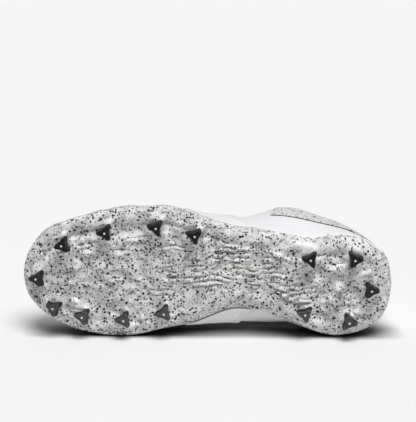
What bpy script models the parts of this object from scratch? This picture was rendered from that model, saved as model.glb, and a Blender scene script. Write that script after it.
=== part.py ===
"""A left football cleat with a moulded stud plate, lying on its inner side.

The shoe is modelled upright in millimetres: u runs from the heel to the toe, v to the outer side,
w up from the stud tips. At the end the whole shoe is laid on its inner side, in metres.
"""
import math

import bmesh
import bpy
import numpy as np
from mathutils import Matrix, Vector

for old in list(bpy.data.objects):
    bpy.data.objects.remove(old, do_unlink=True)

# Driving sizes of the shoe, in millimetres
MM = 0.001
SHOE_LENGTH = 300.0
BALL_WIDTH = 106.0
INSTEP_HEIGHT = 91.0
HEEL_HEIGHT = 81.5
GAP = 0.3

# Thicknesses
UPPER_WALL = 2.2
COLLAR_WALL = 3.0
OVERLAY = 1.2
WRAP_GAP = 0.5
SADDLE_GAP = 0.9
RIM_GAP = 0.45
RIM_FOOT = 3.0
RIM_TOP = 1.6
INSOLE = 4.0
TONGUE = 4.5

# Studs: the black tip stands on a white flared base that belongs to the plate
STUD_HEIGHT = 12.0
STUD_BASE_HEIGHT = 4.6
STUD_CORNERS = (0.36, 0.12, 0.05)
STUD_SIDES = 18
STUD_TIP_RADIUS = 4.1
STUD_FOOT_RADIUS = 5.2
STUD_BASE_RADIUS = 5.8
STUD_FLARE_RADIUS = 10.5
STUD_SINK = 1.9

# Stations count along each side from the toe tip to the back of the heel
TOE, HEEL = 0.0, 19.0
LOOP = 2 * HEEL
TOE_FAN, HEEL_FAN = 4.0, 15.3
RIDGE_FRONT, THROAT_FRONT, TOP_EYELET = 3.0, 7.0, 11.8


def table(columns, rows):
    """Names the columns of a short table of rows."""
    return dict(zip(columns.split(), np.array(rows, float).T))


# Outline of the sole's side at each station: shares of the length and of the ball width
OUTLINE = table("station medial_along medial_across lateral_along lateral_across", [
    (0, 1.000, -0.047, 1.000, -0.047),
    (1, 0.988, -0.193, 0.992, 0.099),
    (2, 0.963, -0.283, 0.971, 0.217),
    (3, 0.929, -0.352, 0.936, 0.314),
    (4, 0.876, -0.426, 0.880, 0.397),
    (5, 0.813, -0.464, 0.817, 0.457),
    (6, 0.747, -0.481, 0.747, 0.511),
    (7, 0.683, -0.464, 0.680, 0.525),
    (8, 0.617, -0.413, 0.617, 0.536),
    (9, 0.553, -0.351, 0.553, 0.494),
    (10, 0.490, -0.275, 0.493, 0.438),
    (11, 0.430, -0.217, 0.433, 0.387),
    (12, 0.370, -0.219, 0.370, 0.373),
    (13, 0.307, -0.272, 0.307, 0.338),
    (14, 0.237, -0.359, 0.237, 0.312),
    (15, 0.163, -0.418, 0.167, 0.349),
    (16, 0.097, -0.393, 0.103, 0.349),
    (17, 0.043, -0.317, 0.050, 0.275),
    (18, 0.013, -0.198, 0.020, 0.187),
    (19, 0.004, -0.005, 0.004, -0.005),
])

# Heights of the plate along the shoe, in millimetres above the stud tips; the rim is its side lip
SOLE = table("along bottom floor rim", [
    (0.00, 15.0, 22.5, 8.0),
    (0.07, 12.4, 22.0, 9.0),
    (0.18, 12.0, 21.5, 9.0),
    (0.28, 13.4, 21.5, 6.0),
    (0.39, 17.0, 22.0, 4.0),
    (0.47, 16.4, 21.4, 4.0),
    (0.55, 13.4, 20.0, 6.0),
    (0.63, 12.2, 18.2, 8.0),
    (0.72, 12.0, 17.0, 9.0),
    (0.82, 12.8, 17.5, 10.0),
    (0.90, 16.0, 20.3, 12.0),
    (0.97, 21.0, 25.0, 13.0),
    (1.00, 23.4, 27.3, 14.0),
])

# Top edge of the upper: the ridge of the vamp, then the throat, then the collar.
# Rise is a share of the instep height plus a share of the heel height above the plate's floor.
TOP = table("station along medial lateral of_instep of_heel", [
    (3.0, 0.903, -0.005, -0.005, 0.385, 0.00),
    (4.0, 0.868, -0.003, -0.003, 0.435, 0.00),
    (5.0, 0.820, 0.000, 0.000, 0.495, 0.00),
    (6.0, 0.753, 0.005, 0.005, 0.580, 0.00),
    (7.0, 0.693, 0.010, 0.010, 0.655, 0.00),
    (7.4, 0.685, -0.050, 0.070, 0.665, 0.00),
    (8.0, 0.657, -0.080, 0.102, 0.700, 0.00),
    (9.5, 0.557, -0.100, 0.135, 0.815, 0.00),
    (11.0, 0.457, -0.135, 0.170, 0.940, 0.00),
    (11.8, 0.407, -0.170, 0.200, 1.000, 0.00),
    (12.3, 0.375, -0.225, 0.275, 0.970, 0.02),
    (13.0, 0.327, -0.305, 0.375, 0.550, 0.40),
    (14.0, 0.260, -0.370, 0.415, 0.100, 0.79),
    (15.0, 0.190, -0.376, 0.372, 0.000, 0.85),
    (16.0, 0.127, -0.318, 0.308, 0.000, 0.87),
    (17.0, 0.073, -0.228, 0.220, 0.000, 0.91),
    (18.0, 0.040, -0.115, 0.113, 0.000, 0.96),
    (19.0, 0.028, 0.000, 0.000, 0.000, 0.98),
])

# How each section swells between the sole and the top edge, in millimetres:
# it leaves the sole by spread and lift, and comes to the top edge from reach outside and drop below
MEDIAL_SWELL = table("station spread lift reach drop", [
    (0, 1.5, 13, 12, 0),
    (2, 1.5, 14, 15, 0),
    (4, 2.0, 18, 22, 1),
    (6, 3.0, 27, 27, 3),
    (8, 12, 20, 25, 10),
    (9.5, 29, 8, 24, 22),
    (11, 41, 7, 24, 34),
    (12, 40, 7, 21, 36),
    (13, 27, 10, 14, 32),
    (14, 10, 20, 6, 28),
    (15, 2.5, 24, 3, 26),
    (16, 2.5, 24, 3, 26),
    (17, 4.0, 24, 2, 26),
    (18, 6.0, 24, 0.5, 26),
    (19, 8.0, 24, -1, 26),
])
LATERAL_SWELL = table("station spread lift reach drop", [
    (0, 1.5, 13, 12, 0),
    (2, 1.5, 14, 15, 0),
    (4, 2.0, 18, 22, 1),
    (6, 3.0, 27, 28, 3),
    (8, 3.0, 30, 27, 8),
    (9.5, 5.0, 28, 26, 16),
    (11, 10, 24, 25, 21),
    (12, 11, 24, 22, 26),
    (13, 13, 24, 12, 28),
    (14, 14, 24, 6, 28),
    (15, 6.0, 24, 4, 26),
    (16, 3.0, 24, 3, 26),
    (17, 4.0, 24, 2, 26),
    (18, 6.0, 24, 0.5, 26),
    (19, 8.0, 24, -1, 26),
])

# Studs: place of the tip in millimetres and the way its first corner points, from the toe
STUDS = table("number along across turn", [
    (1, 268.6, 23.8, 16),
    (2, 234.2, 36.2, 3),
    (3, 193.4, 41.8, -8),
    (4, 162.1, 36.2, -18),
    (5, 289.0, -5.5, 2),
    (6, 274.5, -28.6, -24),
    (7, 250.4, -33.9, -7),
    (8, 216.9, -35.1, 7),
    (9, 184.5, -28.3, 12),
    (10, 68.7, 20.9, -3),
    (11, 33.1, 22.3, 186),
    (12, 18.2, -2.5, 180),
    (13, 70.7, -24.4, -13),
    (14, 34.7, -29.5, 173),
])

# Edges of the saddle panels, as stations from the sole up to the throat
SADDLE_FOOT = 3.0
SADDLE_EDGE = table("share front rear", [
    (0.00, 8.90, 11.95),
    (0.20, 8.70, 11.35),
    (0.40, 8.35, 10.95),
    (0.60, 7.95, 10.95),
    (0.80, 7.55, 11.45),
    (1.00, 7.35, 12.05),
])

# The heel wrap runs round the heel from the medial to the lateral quarter
WRAP_MEDIAL, WRAP_LATERAL = 17.0, 12.9
WRAP_SLANT = 0.5
WRAP_LOW, WRAP_HIGH = 0.46, 0.82

# Tongue: how far its sides reach under the throat edges, and its free top
TONGUE_FRONT = 6.5
TONGUE_SIDES = (13.0, 9.0, 5.0, 1.5)
TONGUE_CLEAR = 0.8
TONGUE_DIP = 2.4
TONGUE_CROWN = 0.17
TONGUE_TOP_REACH = 32.0
TONGUE_TOP_RISE = math.radians(48)
# Rows of the free top: share of its reach, width and arch against the last section in the throat
TONGUE_FREE_TOP = ((0.28, 0.76, 0.95), (0.62, 1.25, 0.7), (0.9, 1.3, 0.6), (1.0, 1.05, 0.6))

# Lace bars
LACE_ROWS = np.linspace(7.9, 11.2, 6)
LACE_WIDTH = 7.0
LACE_THICK = 1.4
LACE_EDGE_LIFT = 0.9
LACE_CLEAR = 0.45
EYELET_INSET = 7.5


# Soft curves through the tables
def smooth(places, values, wanted):
    """Runs a soft curve through values known at some places and reads it at the wanted ones."""
    slopes = np.gradient(values, places)
    wanted = np.clip(wanted, places[0], places[-1])
    first = np.clip(np.searchsorted(places, wanted, side="right") - 1, 0, len(places) - 2)
    width = places[first + 1] - places[first]
    share = (wanted - places[first]) / width
    start = values[first] * (1 + 2 * share) * (1 - share) ** 2
    end = values[first + 1] * share ** 2 * (3 - 2 * share)
    leave = slopes[first] * width * share * (1 - share) ** 2
    arrive = slopes[first + 1] * width * share ** 2 * (1 - share)
    return start + end + leave - arrive


def loop_values(stations, medial, lateral):
    """Joins the values of both sides into one run that overlaps itself at the toe and heel."""
    inner = slice(1, -1)
    ring_places = np.concatenate([stations, LOOP - stations[inner][::-1]])
    ring_values = np.concatenate([medial, lateral[inner][::-1]])
    places = np.concatenate([ring_places[-4:] - LOOP, ring_places, ring_places[:4] + LOOP])
    values = np.concatenate([ring_values[-4:], ring_values, ring_values[:4]])
    return places, values


def read_loop(stations, medial, lateral, place):
    """Reads a pair of side tables at places round the loop: 0 toe, 19 heel, 38 toe again."""
    places, values = loop_values(stations, medial, lateral)
    return smooth(places, values, np.mod(place, LOOP))


def station_of(place):
    """Station along its own side of a place round the loop."""
    place = np.mod(place, LOOP)
    return np.minimum(place, LOOP - place)


def outline(place):
    """Plan of the sole's side and its outward direction at places round the loop."""
    def plan(at):
        along = read_loop(OUTLINE["station"], OUTLINE["medial_along"], OUTLINE["lateral_along"], at)
        across = read_loop(OUTLINE["station"], OUTLINE["medial_across"], OUTLINE["lateral_across"], at)
        return np.stack([along * SHOE_LENGTH, across * BALL_WIDTH], axis=-1)

    step = 0.02
    run = plan(place + step) - plan(place - step)
    outward = np.stack([-run[..., 1], run[..., 0]], axis=-1)
    outward /= np.linalg.norm(outward, axis=-1, keepdims=True)
    return plan(place), outward


def sole_height(column, along):
    """Reads one height of the plate at a distance along the shoe."""
    return smooth(SOLE["along"] * SHOE_LENGTH, SOLE[column], along)


def join_height(plan, height):
    """Puts a height on points of the plan."""
    height = np.broadcast_to(height, plan.shape[:-1])
    return np.concatenate([plan, height[..., None]], axis=-1)


def flat(direction):
    """Turns a plan direction into a level direction in space."""
    return join_height(direction, 0.0)


# The upper's own function
def base_edge(place):
    """Bottom edge of the upper, inside the sole's side, and its outward direction."""
    plan, outward = outline(place)
    inside = plan - outward * (RIM_FOOT + GAP)
    return join_height(inside, sole_height("floor", inside[..., 0]) + GAP), outward


def top_edge(place):
    """Top edge of the upper: one shared ridge over the vamp, then throat and collar."""
    def one_side(at):
        station = np.maximum(station_of(at), RIDGE_FRONT)
        along = smooth(TOP["station"], TOP["along"], station) * SHOE_LENGTH
        medial = smooth(TOP["station"], TOP["medial"], station)
        lateral = smooth(TOP["station"], TOP["lateral"], station)
        across = np.where(np.mod(at, LOOP) <= HEEL, medial, lateral) * BALL_WIDTH
        rise = smooth(TOP["station"], TOP["of_instep"], station) * INSTEP_HEIGHT
        rise = rise + smooth(TOP["station"], TOP["of_heel"], station) * HEEL_HEIGHT
        return np.stack([along, across, sole_height("floor", along) + rise], axis=-1)

    shared = (one_side(place) + one_side(LOOP - place)) / 2
    welded = (station_of(place) <= THROAT_FRONT)[..., None]
    return np.where(welded, shared, one_side(place))


def swell(column, place):
    """Reads one swelling size of the section at places round the loop."""
    return read_loop(MEDIAL_SWELL["station"], MEDIAL_SWELL[column], LATERAL_SWELL[column], place)


def upper_point(place, climb):
    """A point on the outer face of the upper; climb runs from 0 at the sole to 1 at the top edge."""
    place, climb = np.broadcast_arrays(np.asarray(place, float), np.asarray(climb, float))
    base, outward = base_edge(place)
    top = top_edge(place)
    level = flat(outward)
    upward = np.array([0.0, 0.0, 1.0])
    leave = base + level * swell("spread", place)[..., None] + upward * swell("lift", place)[..., None]
    arrive = top + level * swell("reach", place)[..., None] - upward * swell("drop", place)[..., None]
    share = climb[..., None]
    rest = 1 - share
    return (base * rest ** 3 + 3 * leave * rest ** 2 * share
            + 3 * arrive * rest * share ** 2 + top * share ** 3)


def upper_normal(place, climb):
    """Outward direction of the upper's face."""
    place, climb = np.broadcast_arrays(np.asarray(place, float), np.asarray(climb, float))
    step = 0.02
    climb = np.clip(climb, step, 1 - step)
    round_loop = upper_point(place + step, climb) - upper_point(place - step, climb)
    up_side = upper_point(place, climb + step) - upper_point(place, climb - step)
    normal = np.cross(up_side, round_loop)
    length = np.linalg.norm(normal, axis=-1, keepdims=True)
    return normal / np.maximum(length, 1e-9)


def side_length(place):
    """Girth of the section from the sole to the top edge, with the climbs it was measured at."""
    climbs = np.linspace(0, 1, 61)
    place = np.atleast_1d(np.asarray(place, float))
    points = upper_point(place[:, None], climbs[None, :])
    steps = np.linalg.norm(np.diff(points, axis=1), axis=-1)
    lengths = np.concatenate([np.zeros((len(place), 1)), np.cumsum(steps, axis=1)], axis=1)
    return climbs, lengths


def climb_at(place, length):
    """Climb of the point that lies some length up the section from the sole."""
    climbs, lengths = side_length(place)
    wanted = np.broadcast_to(np.asarray(length, float), (len(lengths),))
    return np.array([np.interp(one, run, climbs) for one, run in zip(wanted, lengths)])


def climb_below_top(place, length):
    """Climb of the point that lies some length down the section from the top edge."""
    climbs, lengths = side_length(place)
    wanted = lengths[:, -1] - np.asarray(length, float)
    return np.array([np.interp(one, run, climbs) for one, run in zip(wanted, lengths)])


# Meshes
def paint(piece, colour, roughness):
    """Gives a piece its own plain material."""
    material = bpy.data.materials.new(piece.name + "_material")
    material.use_nodes = True
    shader = material.node_tree.nodes["Principled BSDF"]
    shader.inputs["Base Color"].default_value = (*colour, 1.0)
    shader.inputs["Roughness"].default_value = roughness
    material.diffuse_color = (*colour, 1.0)
    piece.data.materials.append(material)


def make_piece(name, points, faces):
    """Makes a closed mesh object from points in millimetres."""
    mesh = bpy.data.meshes.new(name)
    mesh.from_pydata((np.asarray(points) * MM).tolist(), [], faces)
    shape = bmesh.new()
    shape.from_mesh(mesh)
    bmesh.ops.remove_doubles(shape, verts=shape.verts, dist=0.00001)
    bmesh.ops.dissolve_degenerate(shape, edges=shape.edges, dist=0.00001)
    bmesh.ops.recalc_face_normals(shape, faces=shape.faces)
    for face in shape.faces:
        face.smooth = True
    shape.to_mesh(mesh)
    shape.free()
    piece = bpy.data.objects.new(name, mesh)
    bpy.context.scene.collection.objects.link(piece)
    return piece


def ring_faces(ring_count, columns, closed, skip=None):
    """Faces between rings of points that all go once round the shoe."""
    faces = []
    last = ring_count if closed else ring_count - 1
    for ring in range(last):
        following = (ring + 1) % ring_count
        for column in range(columns):
            beside = (column + 1) % columns
            if skip is not None and skip(ring, column, beside):
                continue
            faces.append((ring * columns + column, ring * columns + beside,
                          following * columns + beside, following * columns + column))
    return faces


def slab(name, outer, inner):
    """Makes a closed sheet from an outer and an inner grid of points."""
    rows, columns = outer.shape[:2]
    points = np.concatenate([outer.reshape(-1, 3), inner.reshape(-1, 3)])
    under = rows * columns

    def at(row, column):
        return row * columns + column

    faces = []
    for row in range(rows - 1):
        for column in range(columns - 1):
            square = (at(row, column), at(row, column + 1), at(row + 1, column + 1), at(row + 1, column))
            faces.append(square)
            faces.append(tuple(corner + under for corner in reversed(square)))
    border = [at(0, column) for column in range(columns)]
    border += [at(row, columns - 1) for row in range(1, rows)]
    border += [at(rows - 1, column) for column in range(columns - 2, -1, -1)]
    border += [at(row, 0) for row in range(rows - 2, 0, -1)]
    for start, end in zip(border, border[1:] + border[:1]):
        faces.append((end, start, start + under, end + under))
    return make_piece(name, points, faces)


def prism(name, rings):
    """Makes a closed solid from rings of points, with flat ends."""
    sides = len(rings[0])
    faces = ring_faces(len(rings), sides, closed=False)
    faces.append(tuple(range(sides)))
    faces.append(tuple(range((len(rings) - 1) * sides, len(rings) * sides)))
    return make_piece(name, np.concatenate(rings), faces)


# Columns round the shoe, closer at the toe, the throat's front and the heel
SIDE_STATIONS = np.concatenate([
    np.linspace(TOE, TOE_FAN, 8)[:-1],
    np.linspace(TOE_FAN, THROAT_FRONT, 6)[:-1],
    np.linspace(THROAT_FRONT, 8.2, 4)[:-1],
    np.linspace(8.2, TOP_EYELET, 8)[:-1],
    np.linspace(TOP_EYELET, HEEL_FAN, 8)[:-1],
    np.linspace(HEEL_FAN, HEEL, 8),
])
COLUMNS = np.concatenate([SIDE_STATIONS, LOOP - SIDE_STATIONS[1:-1][::-1]])
COLUMN_COUNT = len(COLUMNS)
WELDED = station_of(COLUMNS) <= THROAT_FRONT + 1e-6


def spine(place):
    """Middle line of the plate, ending in a fan at the toe and at the heel."""
    station = np.clip(station_of(place), TOE_FAN, HEEL_FAN)
    medial, _ = outline(station)
    lateral, _ = outline(LOOP - station)
    return (medial + lateral) / 2


# Upper
def upper_rings():
    """Outer rings from the sole to the top edge, then inner rings back down."""
    climbs = np.array([0, 0.07, 0.15, 0.25, 0.36, 0.48, 0.6, 0.72, 0.84, 0.93, 1.0])
    outer = []
    inner = []
    station = station_of(COLUMNS)
    for climb in climbs:
        point = upper_point(COLUMNS, climb)
        normal = upper_normal(COLUMNS, climb)
        if climb == 1.0:
            mirrored = normal[(-np.arange(COLUMN_COUNT)) % COLUMN_COUNT]
            ridge = normal + mirrored
            ridge /= np.linalg.norm(ridge, axis=-1, keepdims=True)
            pole = station <= RIDGE_FRONT
            ridge[pole] = np.array([0.25, 0.0, 0.97])
            normal = np.where(WELDED[:, None], ridge, normal)
        padded = np.clip((climb - 0.7) / 0.2, 0, 1) * np.clip(station - TOP_EYELET, 0, 1)
        wall = UPPER_WALL + (COLLAR_WALL - UPPER_WALL) * padded
        outer.append(point)
        inner.append(point - normal * wall[:, None])
    return outer, inner


def build_upper():
    outer, inner = upper_rings()
    rings = outer + inner[::-1]
    top_ring = len(outer) - 1

    def over_the_ridge(ring, column, beside):
        return ring == top_ring and WELDED[column] and WELDED[beside]

    faces = ring_faces(len(rings), COLUMN_COUNT, closed=True, skip=over_the_ridge)
    return make_piece("upper", np.concatenate(rings), faces)


# Outsole
def stud_frame(row):
    """Root of a stud and its own axes: down, towards its first corner, and across."""
    along = STUDS["along"][row]
    slope = (sole_height("bottom", along + 2) - sole_height("bottom", along - 2)) / 4
    down = np.array([slope, 0.0, -1.0])
    down /= np.linalg.norm(down)
    root_along = along - down[0] * STUD_HEIGHT
    root = np.array([root_along, STUDS["across"][row], sole_height("bottom", root_along)])
    turn = math.radians(STUDS["turn"][row])
    level = np.array([math.cos(turn), -math.sin(turn), 0.0])
    ahead = level - down * np.dot(level, down)
    ahead /= np.linalg.norm(ahead)
    return root, down, ahead, np.cross(down, ahead)


def cornered_ring(frame, depth, radius, sharp):
    """A three-cornered ring of points at a depth below the plate; sharp runs from 0, round, to 1."""
    root, down, ahead, aside = frame
    angles = np.linspace(0, 2 * math.pi, STUD_SIDES, endpoint=False)
    reach = np.ones(STUD_SIDES)
    for wave, share in enumerate(STUD_CORNERS, start=1):
        reach = reach + sharp * share * np.cos(3 * wave * angles)
    around = ahead * np.cos(angles)[:, None] + aside * np.sin(angles)[:, None]
    return root + down * depth + around * (radius * reach)[:, None]


def edge_rounding(plan):
    """How far in the plate's edge is rounded: little beside a stud, more between two studs."""
    studs = np.stack([STUDS["along"], STUDS["across"]], axis=-1)
    nearest = np.linalg.norm(plan[:, None, :] - studs[None, :, :], axis=-1).min(axis=1)
    return 8.0 + 5.0 * np.clip((nearest - 16) / 16, 0, 1)


def build_outsole():
    plan, outward = outline(COLUMNS)
    base, _ = base_edge(COLUMNS)
    middle = spine(COLUMNS)
    rounding = edge_rounding(plan)[:, None]
    flat_edge = plan - outward * rounding
    bottom = sole_height("bottom", plan[:, 0])
    floor = sole_height("floor", base[:, 0])
    rim = sole_height("rim", plan[:, 0])
    rings = []
    for share in (0, 0.35, 0.7, 1.0):
        ring_plan = middle + (flat_edge - middle) * share
        rings.append(join_height(ring_plan, sole_height("bottom", ring_plan[:, 0])))
    for turn in (0.35, 0.7, 1.0):
        angle = turn * math.pi / 2
        ring_plan = plan - outward * rounding * (1 - math.sin(angle))
        rings.append(join_height(ring_plan, bottom + (floor - bottom) * (1 - math.cos(angle))))
    for share, thick in ((0.5, RIM_FOOT), (0.93, RIM_TOP + 0.5), (1.0, RIM_TOP)):
        climb = climb_at(COLUMNS, rim * share)
        inner_face = upper_point(COLUMNS, climb) + upper_normal(COLUMNS, climb) * RIM_GAP
        rings.append(inner_face + flat(outward) * thick)
    for share in (1.0, 0.67, 0.33):
        climb = climb_at(COLUMNS, rim * share)
        rings.append(upper_point(COLUMNS, climb) + upper_normal(COLUMNS, climb) * RIM_GAP)
    foot = base[:, :2] + outward * GAP
    rings.append(join_height(foot, floor))
    for share in (0.65, 0):
        ring_plan = middle + (foot - middle) * share
        rings.append(join_height(ring_plan, sole_height("floor", ring_plan[:, 0])))
    faces = ring_faces(len(rings), COLUMN_COUNT, closed=False)
    sole = make_piece("outsole", np.concatenate(rings), faces)
    for row in range(len(STUDS["number"])):
        add_stud_base(sole, row)
    return sole


def add_stud_base(sole, row):
    """Joins one flared stud base to the plate."""
    frame = stud_frame(row)
    rings = [
        cornered_ring(frame, -STUD_SINK, STUD_FLARE_RADIUS, 0.2),
        cornered_ring(frame, STUD_BASE_HEIGHT * 0.4, STUD_BASE_RADIUS * 1.24, 0.6),
        cornered_ring(frame, STUD_BASE_HEIGHT, STUD_BASE_RADIUS, 1.0),
    ]
    cutter = prism("stud_base_form", rings)
    join = sole.modifiers.new("stud_base", "BOOLEAN")
    join.operation = "UNION"
    join.solver = "EXACT"
    join.object = cutter
    shape = bmesh.new()
    shape.from_object(sole, bpy.context.evaluated_depsgraph_get())
    shape.to_mesh(sole.data)
    shape.free()
    sole.modifiers.remove(join)
    bpy.data.objects.remove(cutter, do_unlink=True)


def build_stud(row):
    """One black stud tip, drafted, standing on its base."""
    frame = stud_frame(row)
    start = STUD_BASE_HEIGHT + GAP
    rings = [
        cornered_ring(frame, start, STUD_FOOT_RADIUS, 1.0),
        cornered_ring(frame, STUD_HEIGHT - 0.6, STUD_TIP_RADIUS + 0.4, 1.0),
        cornered_ring(frame, STUD_HEIGHT, STUD_TIP_RADIUS, 1.0),
    ]
    return prism("stud_%d" % STUDS["number"][row], rings)


# Insole
def build_insole():
    base, outward = base_edge(COLUMNS)
    edge = base[:, :2] - outward * (UPPER_WALL + 3 * GAP)
    middle = spine(COLUMNS)
    underside = ((0, GAP), (0.65, GAP), (1.0, GAP))
    topside = ((1.0, INSOLE + GAP), (0.65, INSOLE), (0, INSOLE))
    rings = []
    for share, lift in underside + topside:
        ring_plan = middle + (edge - middle) * share
        rings.append(join_height(ring_plan, sole_height("floor", ring_plan[:, 0]) + lift))
    faces = ring_faces(len(rings), COLUMN_COUNT, closed=False)
    return make_piece("insole", np.concatenate(rings), faces)


# Overlays cut from the upper's own function
def overlay(name, places, climbs, clear):
    """A sheet over the upper between grids of places and climbs, some way clear of it."""
    point = upper_point(places, climbs)
    normal = upper_normal(places, climbs)
    return slab(name, point + normal * (clear + OVERLAY), point + normal * clear)


def build_saddle(name, lateral):
    """Eyestay and midfoot panel of one side, from just above the rim to the throat."""
    shares = np.linspace(0, 1, 14)
    across = np.linspace(0, 1, 9)
    front = smooth(SADDLE_EDGE["share"], SADDLE_EDGE["front"], shares)
    rear = smooth(SADDLE_EDGE["share"], SADDLE_EDGE["rear"], shares)
    stations = front[:, None] + (rear - front)[:, None] * across[None, :]
    places = LOOP - stations if lateral else stations
    climbs = np.zeros_like(places)
    for row, share in enumerate(shares):
        _, lengths = side_length(places[row])
        plan, _ = outline(places[row])
        low = sole_height("rim", plan[:, 0]) + SADDLE_FOOT
        climbs[row] = climb_at(places[row], low + (lengths[:, -1] - low) * share)
    return overlay(name, places, climbs, SADDLE_GAP)


def build_heel_wrap():
    """Band round the heel, longer on the outer side, with slanted ends."""
    shares = np.linspace(0, 1, 5)
    across = np.linspace(0, 1, 27)
    climbs = WRAP_LOW + (WRAP_HIGH - WRAP_LOW) * shares
    start = WRAP_MEDIAL + WRAP_SLANT * (shares - 0.5)
    end = LOOP - WRAP_LATERAL - WRAP_SLANT * (shares - 0.5)
    places = start[:, None] + (end - start)[:, None] * across[None, :]
    return overlay("heel_wrap", places, np.broadcast_to(climbs[:, None], places.shape), WRAP_GAP)


# Tongue
def tongue_section(station):
    """Outer points of the tongue across the throat at one station, and their outward directions."""
    narrow = 1 - 0.55 * np.clip((station - THROAT_FRONT) / (TOP_EYELET - THROAT_FRONT), 0, 1)
    deep = TONGUE_CLEAR + TONGUE_DIP * np.clip(1 - abs(station - THROAT_FRONT) / 1.2, 0, 1)
    points = []
    normals = []
    for place, distances in ((station, TONGUE_SIDES), (LOOP - station, TONGUE_SIDES[::-1])):
        side_points = []
        side_normals = []
        for distance in distances:
            climb = climb_below_top(place, distance * narrow)
            side_points.append(upper_point(place, climb)[0])
            side_normals.append(upper_normal(place, climb)[0])
        points.append(side_points)
        normals.append(side_normals)
    medial_edge = top_edge(np.array(station))
    lateral_edge = top_edge(np.array(LOOP - station))
    crown_rise = TONGUE_CROWN * np.linalg.norm(lateral_edge - medial_edge)
    crown = (medial_edge + lateral_edge) / 2 + np.array([0.0, 0.0, crown_rise])
    crown_normal = np.array(normals[0][-1]) + np.array(normals[1][0])
    crown_normal /= np.linalg.norm(crown_normal)
    all_points = np.array(points[0] + [crown] + points[1])
    all_normals = np.array(normals[0] + [crown_normal] + normals[1])
    return all_points - all_normals * (UPPER_WALL + deep), all_normals


def build_tongue():
    stations = np.linspace(TONGUE_FRONT, TOP_EYELET - 0.3, 9)
    outer = []
    inner = []
    for station in stations:
        points, normals = tongue_section(station)
        outer.append(points)
        inner.append(points - normals * TONGUE)
    last = outer[-1]
    middle = last[len(last) // 2]
    way = np.array([-math.cos(TONGUE_TOP_RISE), 0.0, math.sin(TONGUE_TOP_RISE)])
    face = np.array([math.sin(TONGUE_TOP_RISE), 0.0, math.cos(TONGUE_TOP_RISE)])
    for share, width, arch in TONGUE_FREE_TOP:
        spread = (last - middle) * np.array([arch, width, arch])
        section = middle + spread + way * (TONGUE_TOP_REACH * share)
        outer.append(section)
        inner.append(section - face * TONGUE)
    return slab("tongue", np.array(outer), np.array(inner))


# Lace
def lace_path(station):
    """Middle line of one lace bar, from eyelet to eyelet over the tongue."""
    on_panel = SADDLE_GAP + OVERLAY + LACE_CLEAR + LACE_THICK / 2
    at_eyelet = (EYELET_INSET, on_panel)
    at_edge = (1.0, on_panel + LACE_EDGE_LIFT)
    points = []
    for place, steps in ((station, (at_eyelet, at_edge)), (LOOP - station, (at_edge, at_eyelet))):
        for inset, lift in steps:
            climb = climb_below_top(place, inset)
            points.append((upper_point(place, climb) + upper_normal(place, climb) * lift)[0])
    crown, crown_normal = tongue_section(station)
    half = len(crown) // 2
    over_tongue = crown[half] + crown_normal[half] * (LACE_THICK / 2 + 1.2)
    chord = (points[1] + points[2]) / 2
    over_tongue[2] = max(over_tongue[2], chord[2] + 1.0)
    path = np.array(points[:2] + [over_tongue] + points[2:])
    known = np.arange(len(path), dtype=float)
    wanted = np.linspace(0, len(path) - 1, 11)
    return np.stack([smooth(known, path[:, axis], wanted) for axis in range(3)], axis=-1)


def build_lace_bar(number, station):
    """One flat lace bar."""
    path = lace_path(station)
    sideways = lace_path(station + 0.15) - lace_path(station - 0.15)
    runs = np.gradient(path, axis=0)
    faces_up = np.cross(sideways, runs)
    faces_up /= np.linalg.norm(faces_up, axis=-1, keepdims=True)
    sideways = np.cross(runs, faces_up)
    sideways /= np.linalg.norm(sideways, axis=-1, keepdims=True)
    rings = []
    for point, side, up in zip(path, sideways * LACE_WIDTH / 2, faces_up * LACE_THICK / 2):
        corners = [point - side - up, point + side - up, point + side + up, point - side + up]
        rings.append(np.array(corners))
    return prism("lace_bar_%d" % number, rings)


# Build every piece
WHITE_LEATHER = (0.86, 0.86, 0.87)
SPECKLED = (0.72, 0.73, 0.74)
BLACK = (0.02, 0.02, 0.022)
LINING = (0.55, 0.56, 0.58)
LACE_WHITE = (0.88, 0.88, 0.88)

upper = build_upper()
paint(upper, WHITE_LEATHER, 0.45)
outsole = build_outsole()
paint(outsole, SPECKLED, 0.3)
insole = build_insole()
paint(insole, LINING, 0.8)
tongue = build_tongue()
paint(tongue, WHITE_LEATHER, 0.55)
pieces = [upper, outsole, insole, tongue]
for saddle_name, on_lateral in (("saddle_medial", False), ("saddle_lateral", True)):
    saddle = build_saddle(saddle_name, on_lateral)
    paint(saddle, WHITE_LEATHER, 0.45)
    pieces.append(saddle)
heel_wrap = build_heel_wrap()
paint(heel_wrap, SPECKLED, 0.35)
pieces.append(heel_wrap)
for stud_row in range(len(STUDS["number"])):
    stud = build_stud(stud_row)
    paint(stud, BLACK, 0.35)
    pieces.append(stud)
for lace_number, lace_station in enumerate(LACE_ROWS, start=1):
    lace_bar = build_lace_bar(lace_number, lace_station)
    paint(lace_bar, LACE_WHITE, 0.7)
    pieces.append(lace_bar)


# Lay the shoe on its inner side: forefoot edge, heel edge and upper all touch the floor
def mesh_points(piece):
    return np.array([vertex.co[:] for vertex in piece.data.vertices])


def lay_matrix(tilt, roll):
    """Toe to -X, outer side up, ground to -Y; then the roll along the floor and the tilt back."""
    stand = np.array([[-1.0, 0, 0], [0, 0, 1], [0, 1, 0]])
    roll_cos, roll_sin = math.cos(roll), math.sin(roll)
    tilt_cos, tilt_sin = math.cos(tilt), math.sin(tilt)
    roll_turn = np.array([[roll_cos, 0, roll_sin], [0, 1, 0], [-roll_sin, 0, roll_cos]])
    tilt_turn = np.array([[1, 0, 0], [0, tilt_cos, tilt_sin], [0, -tilt_sin, tilt_cos]])
    return tilt_turn @ roll_turn @ stand


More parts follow.
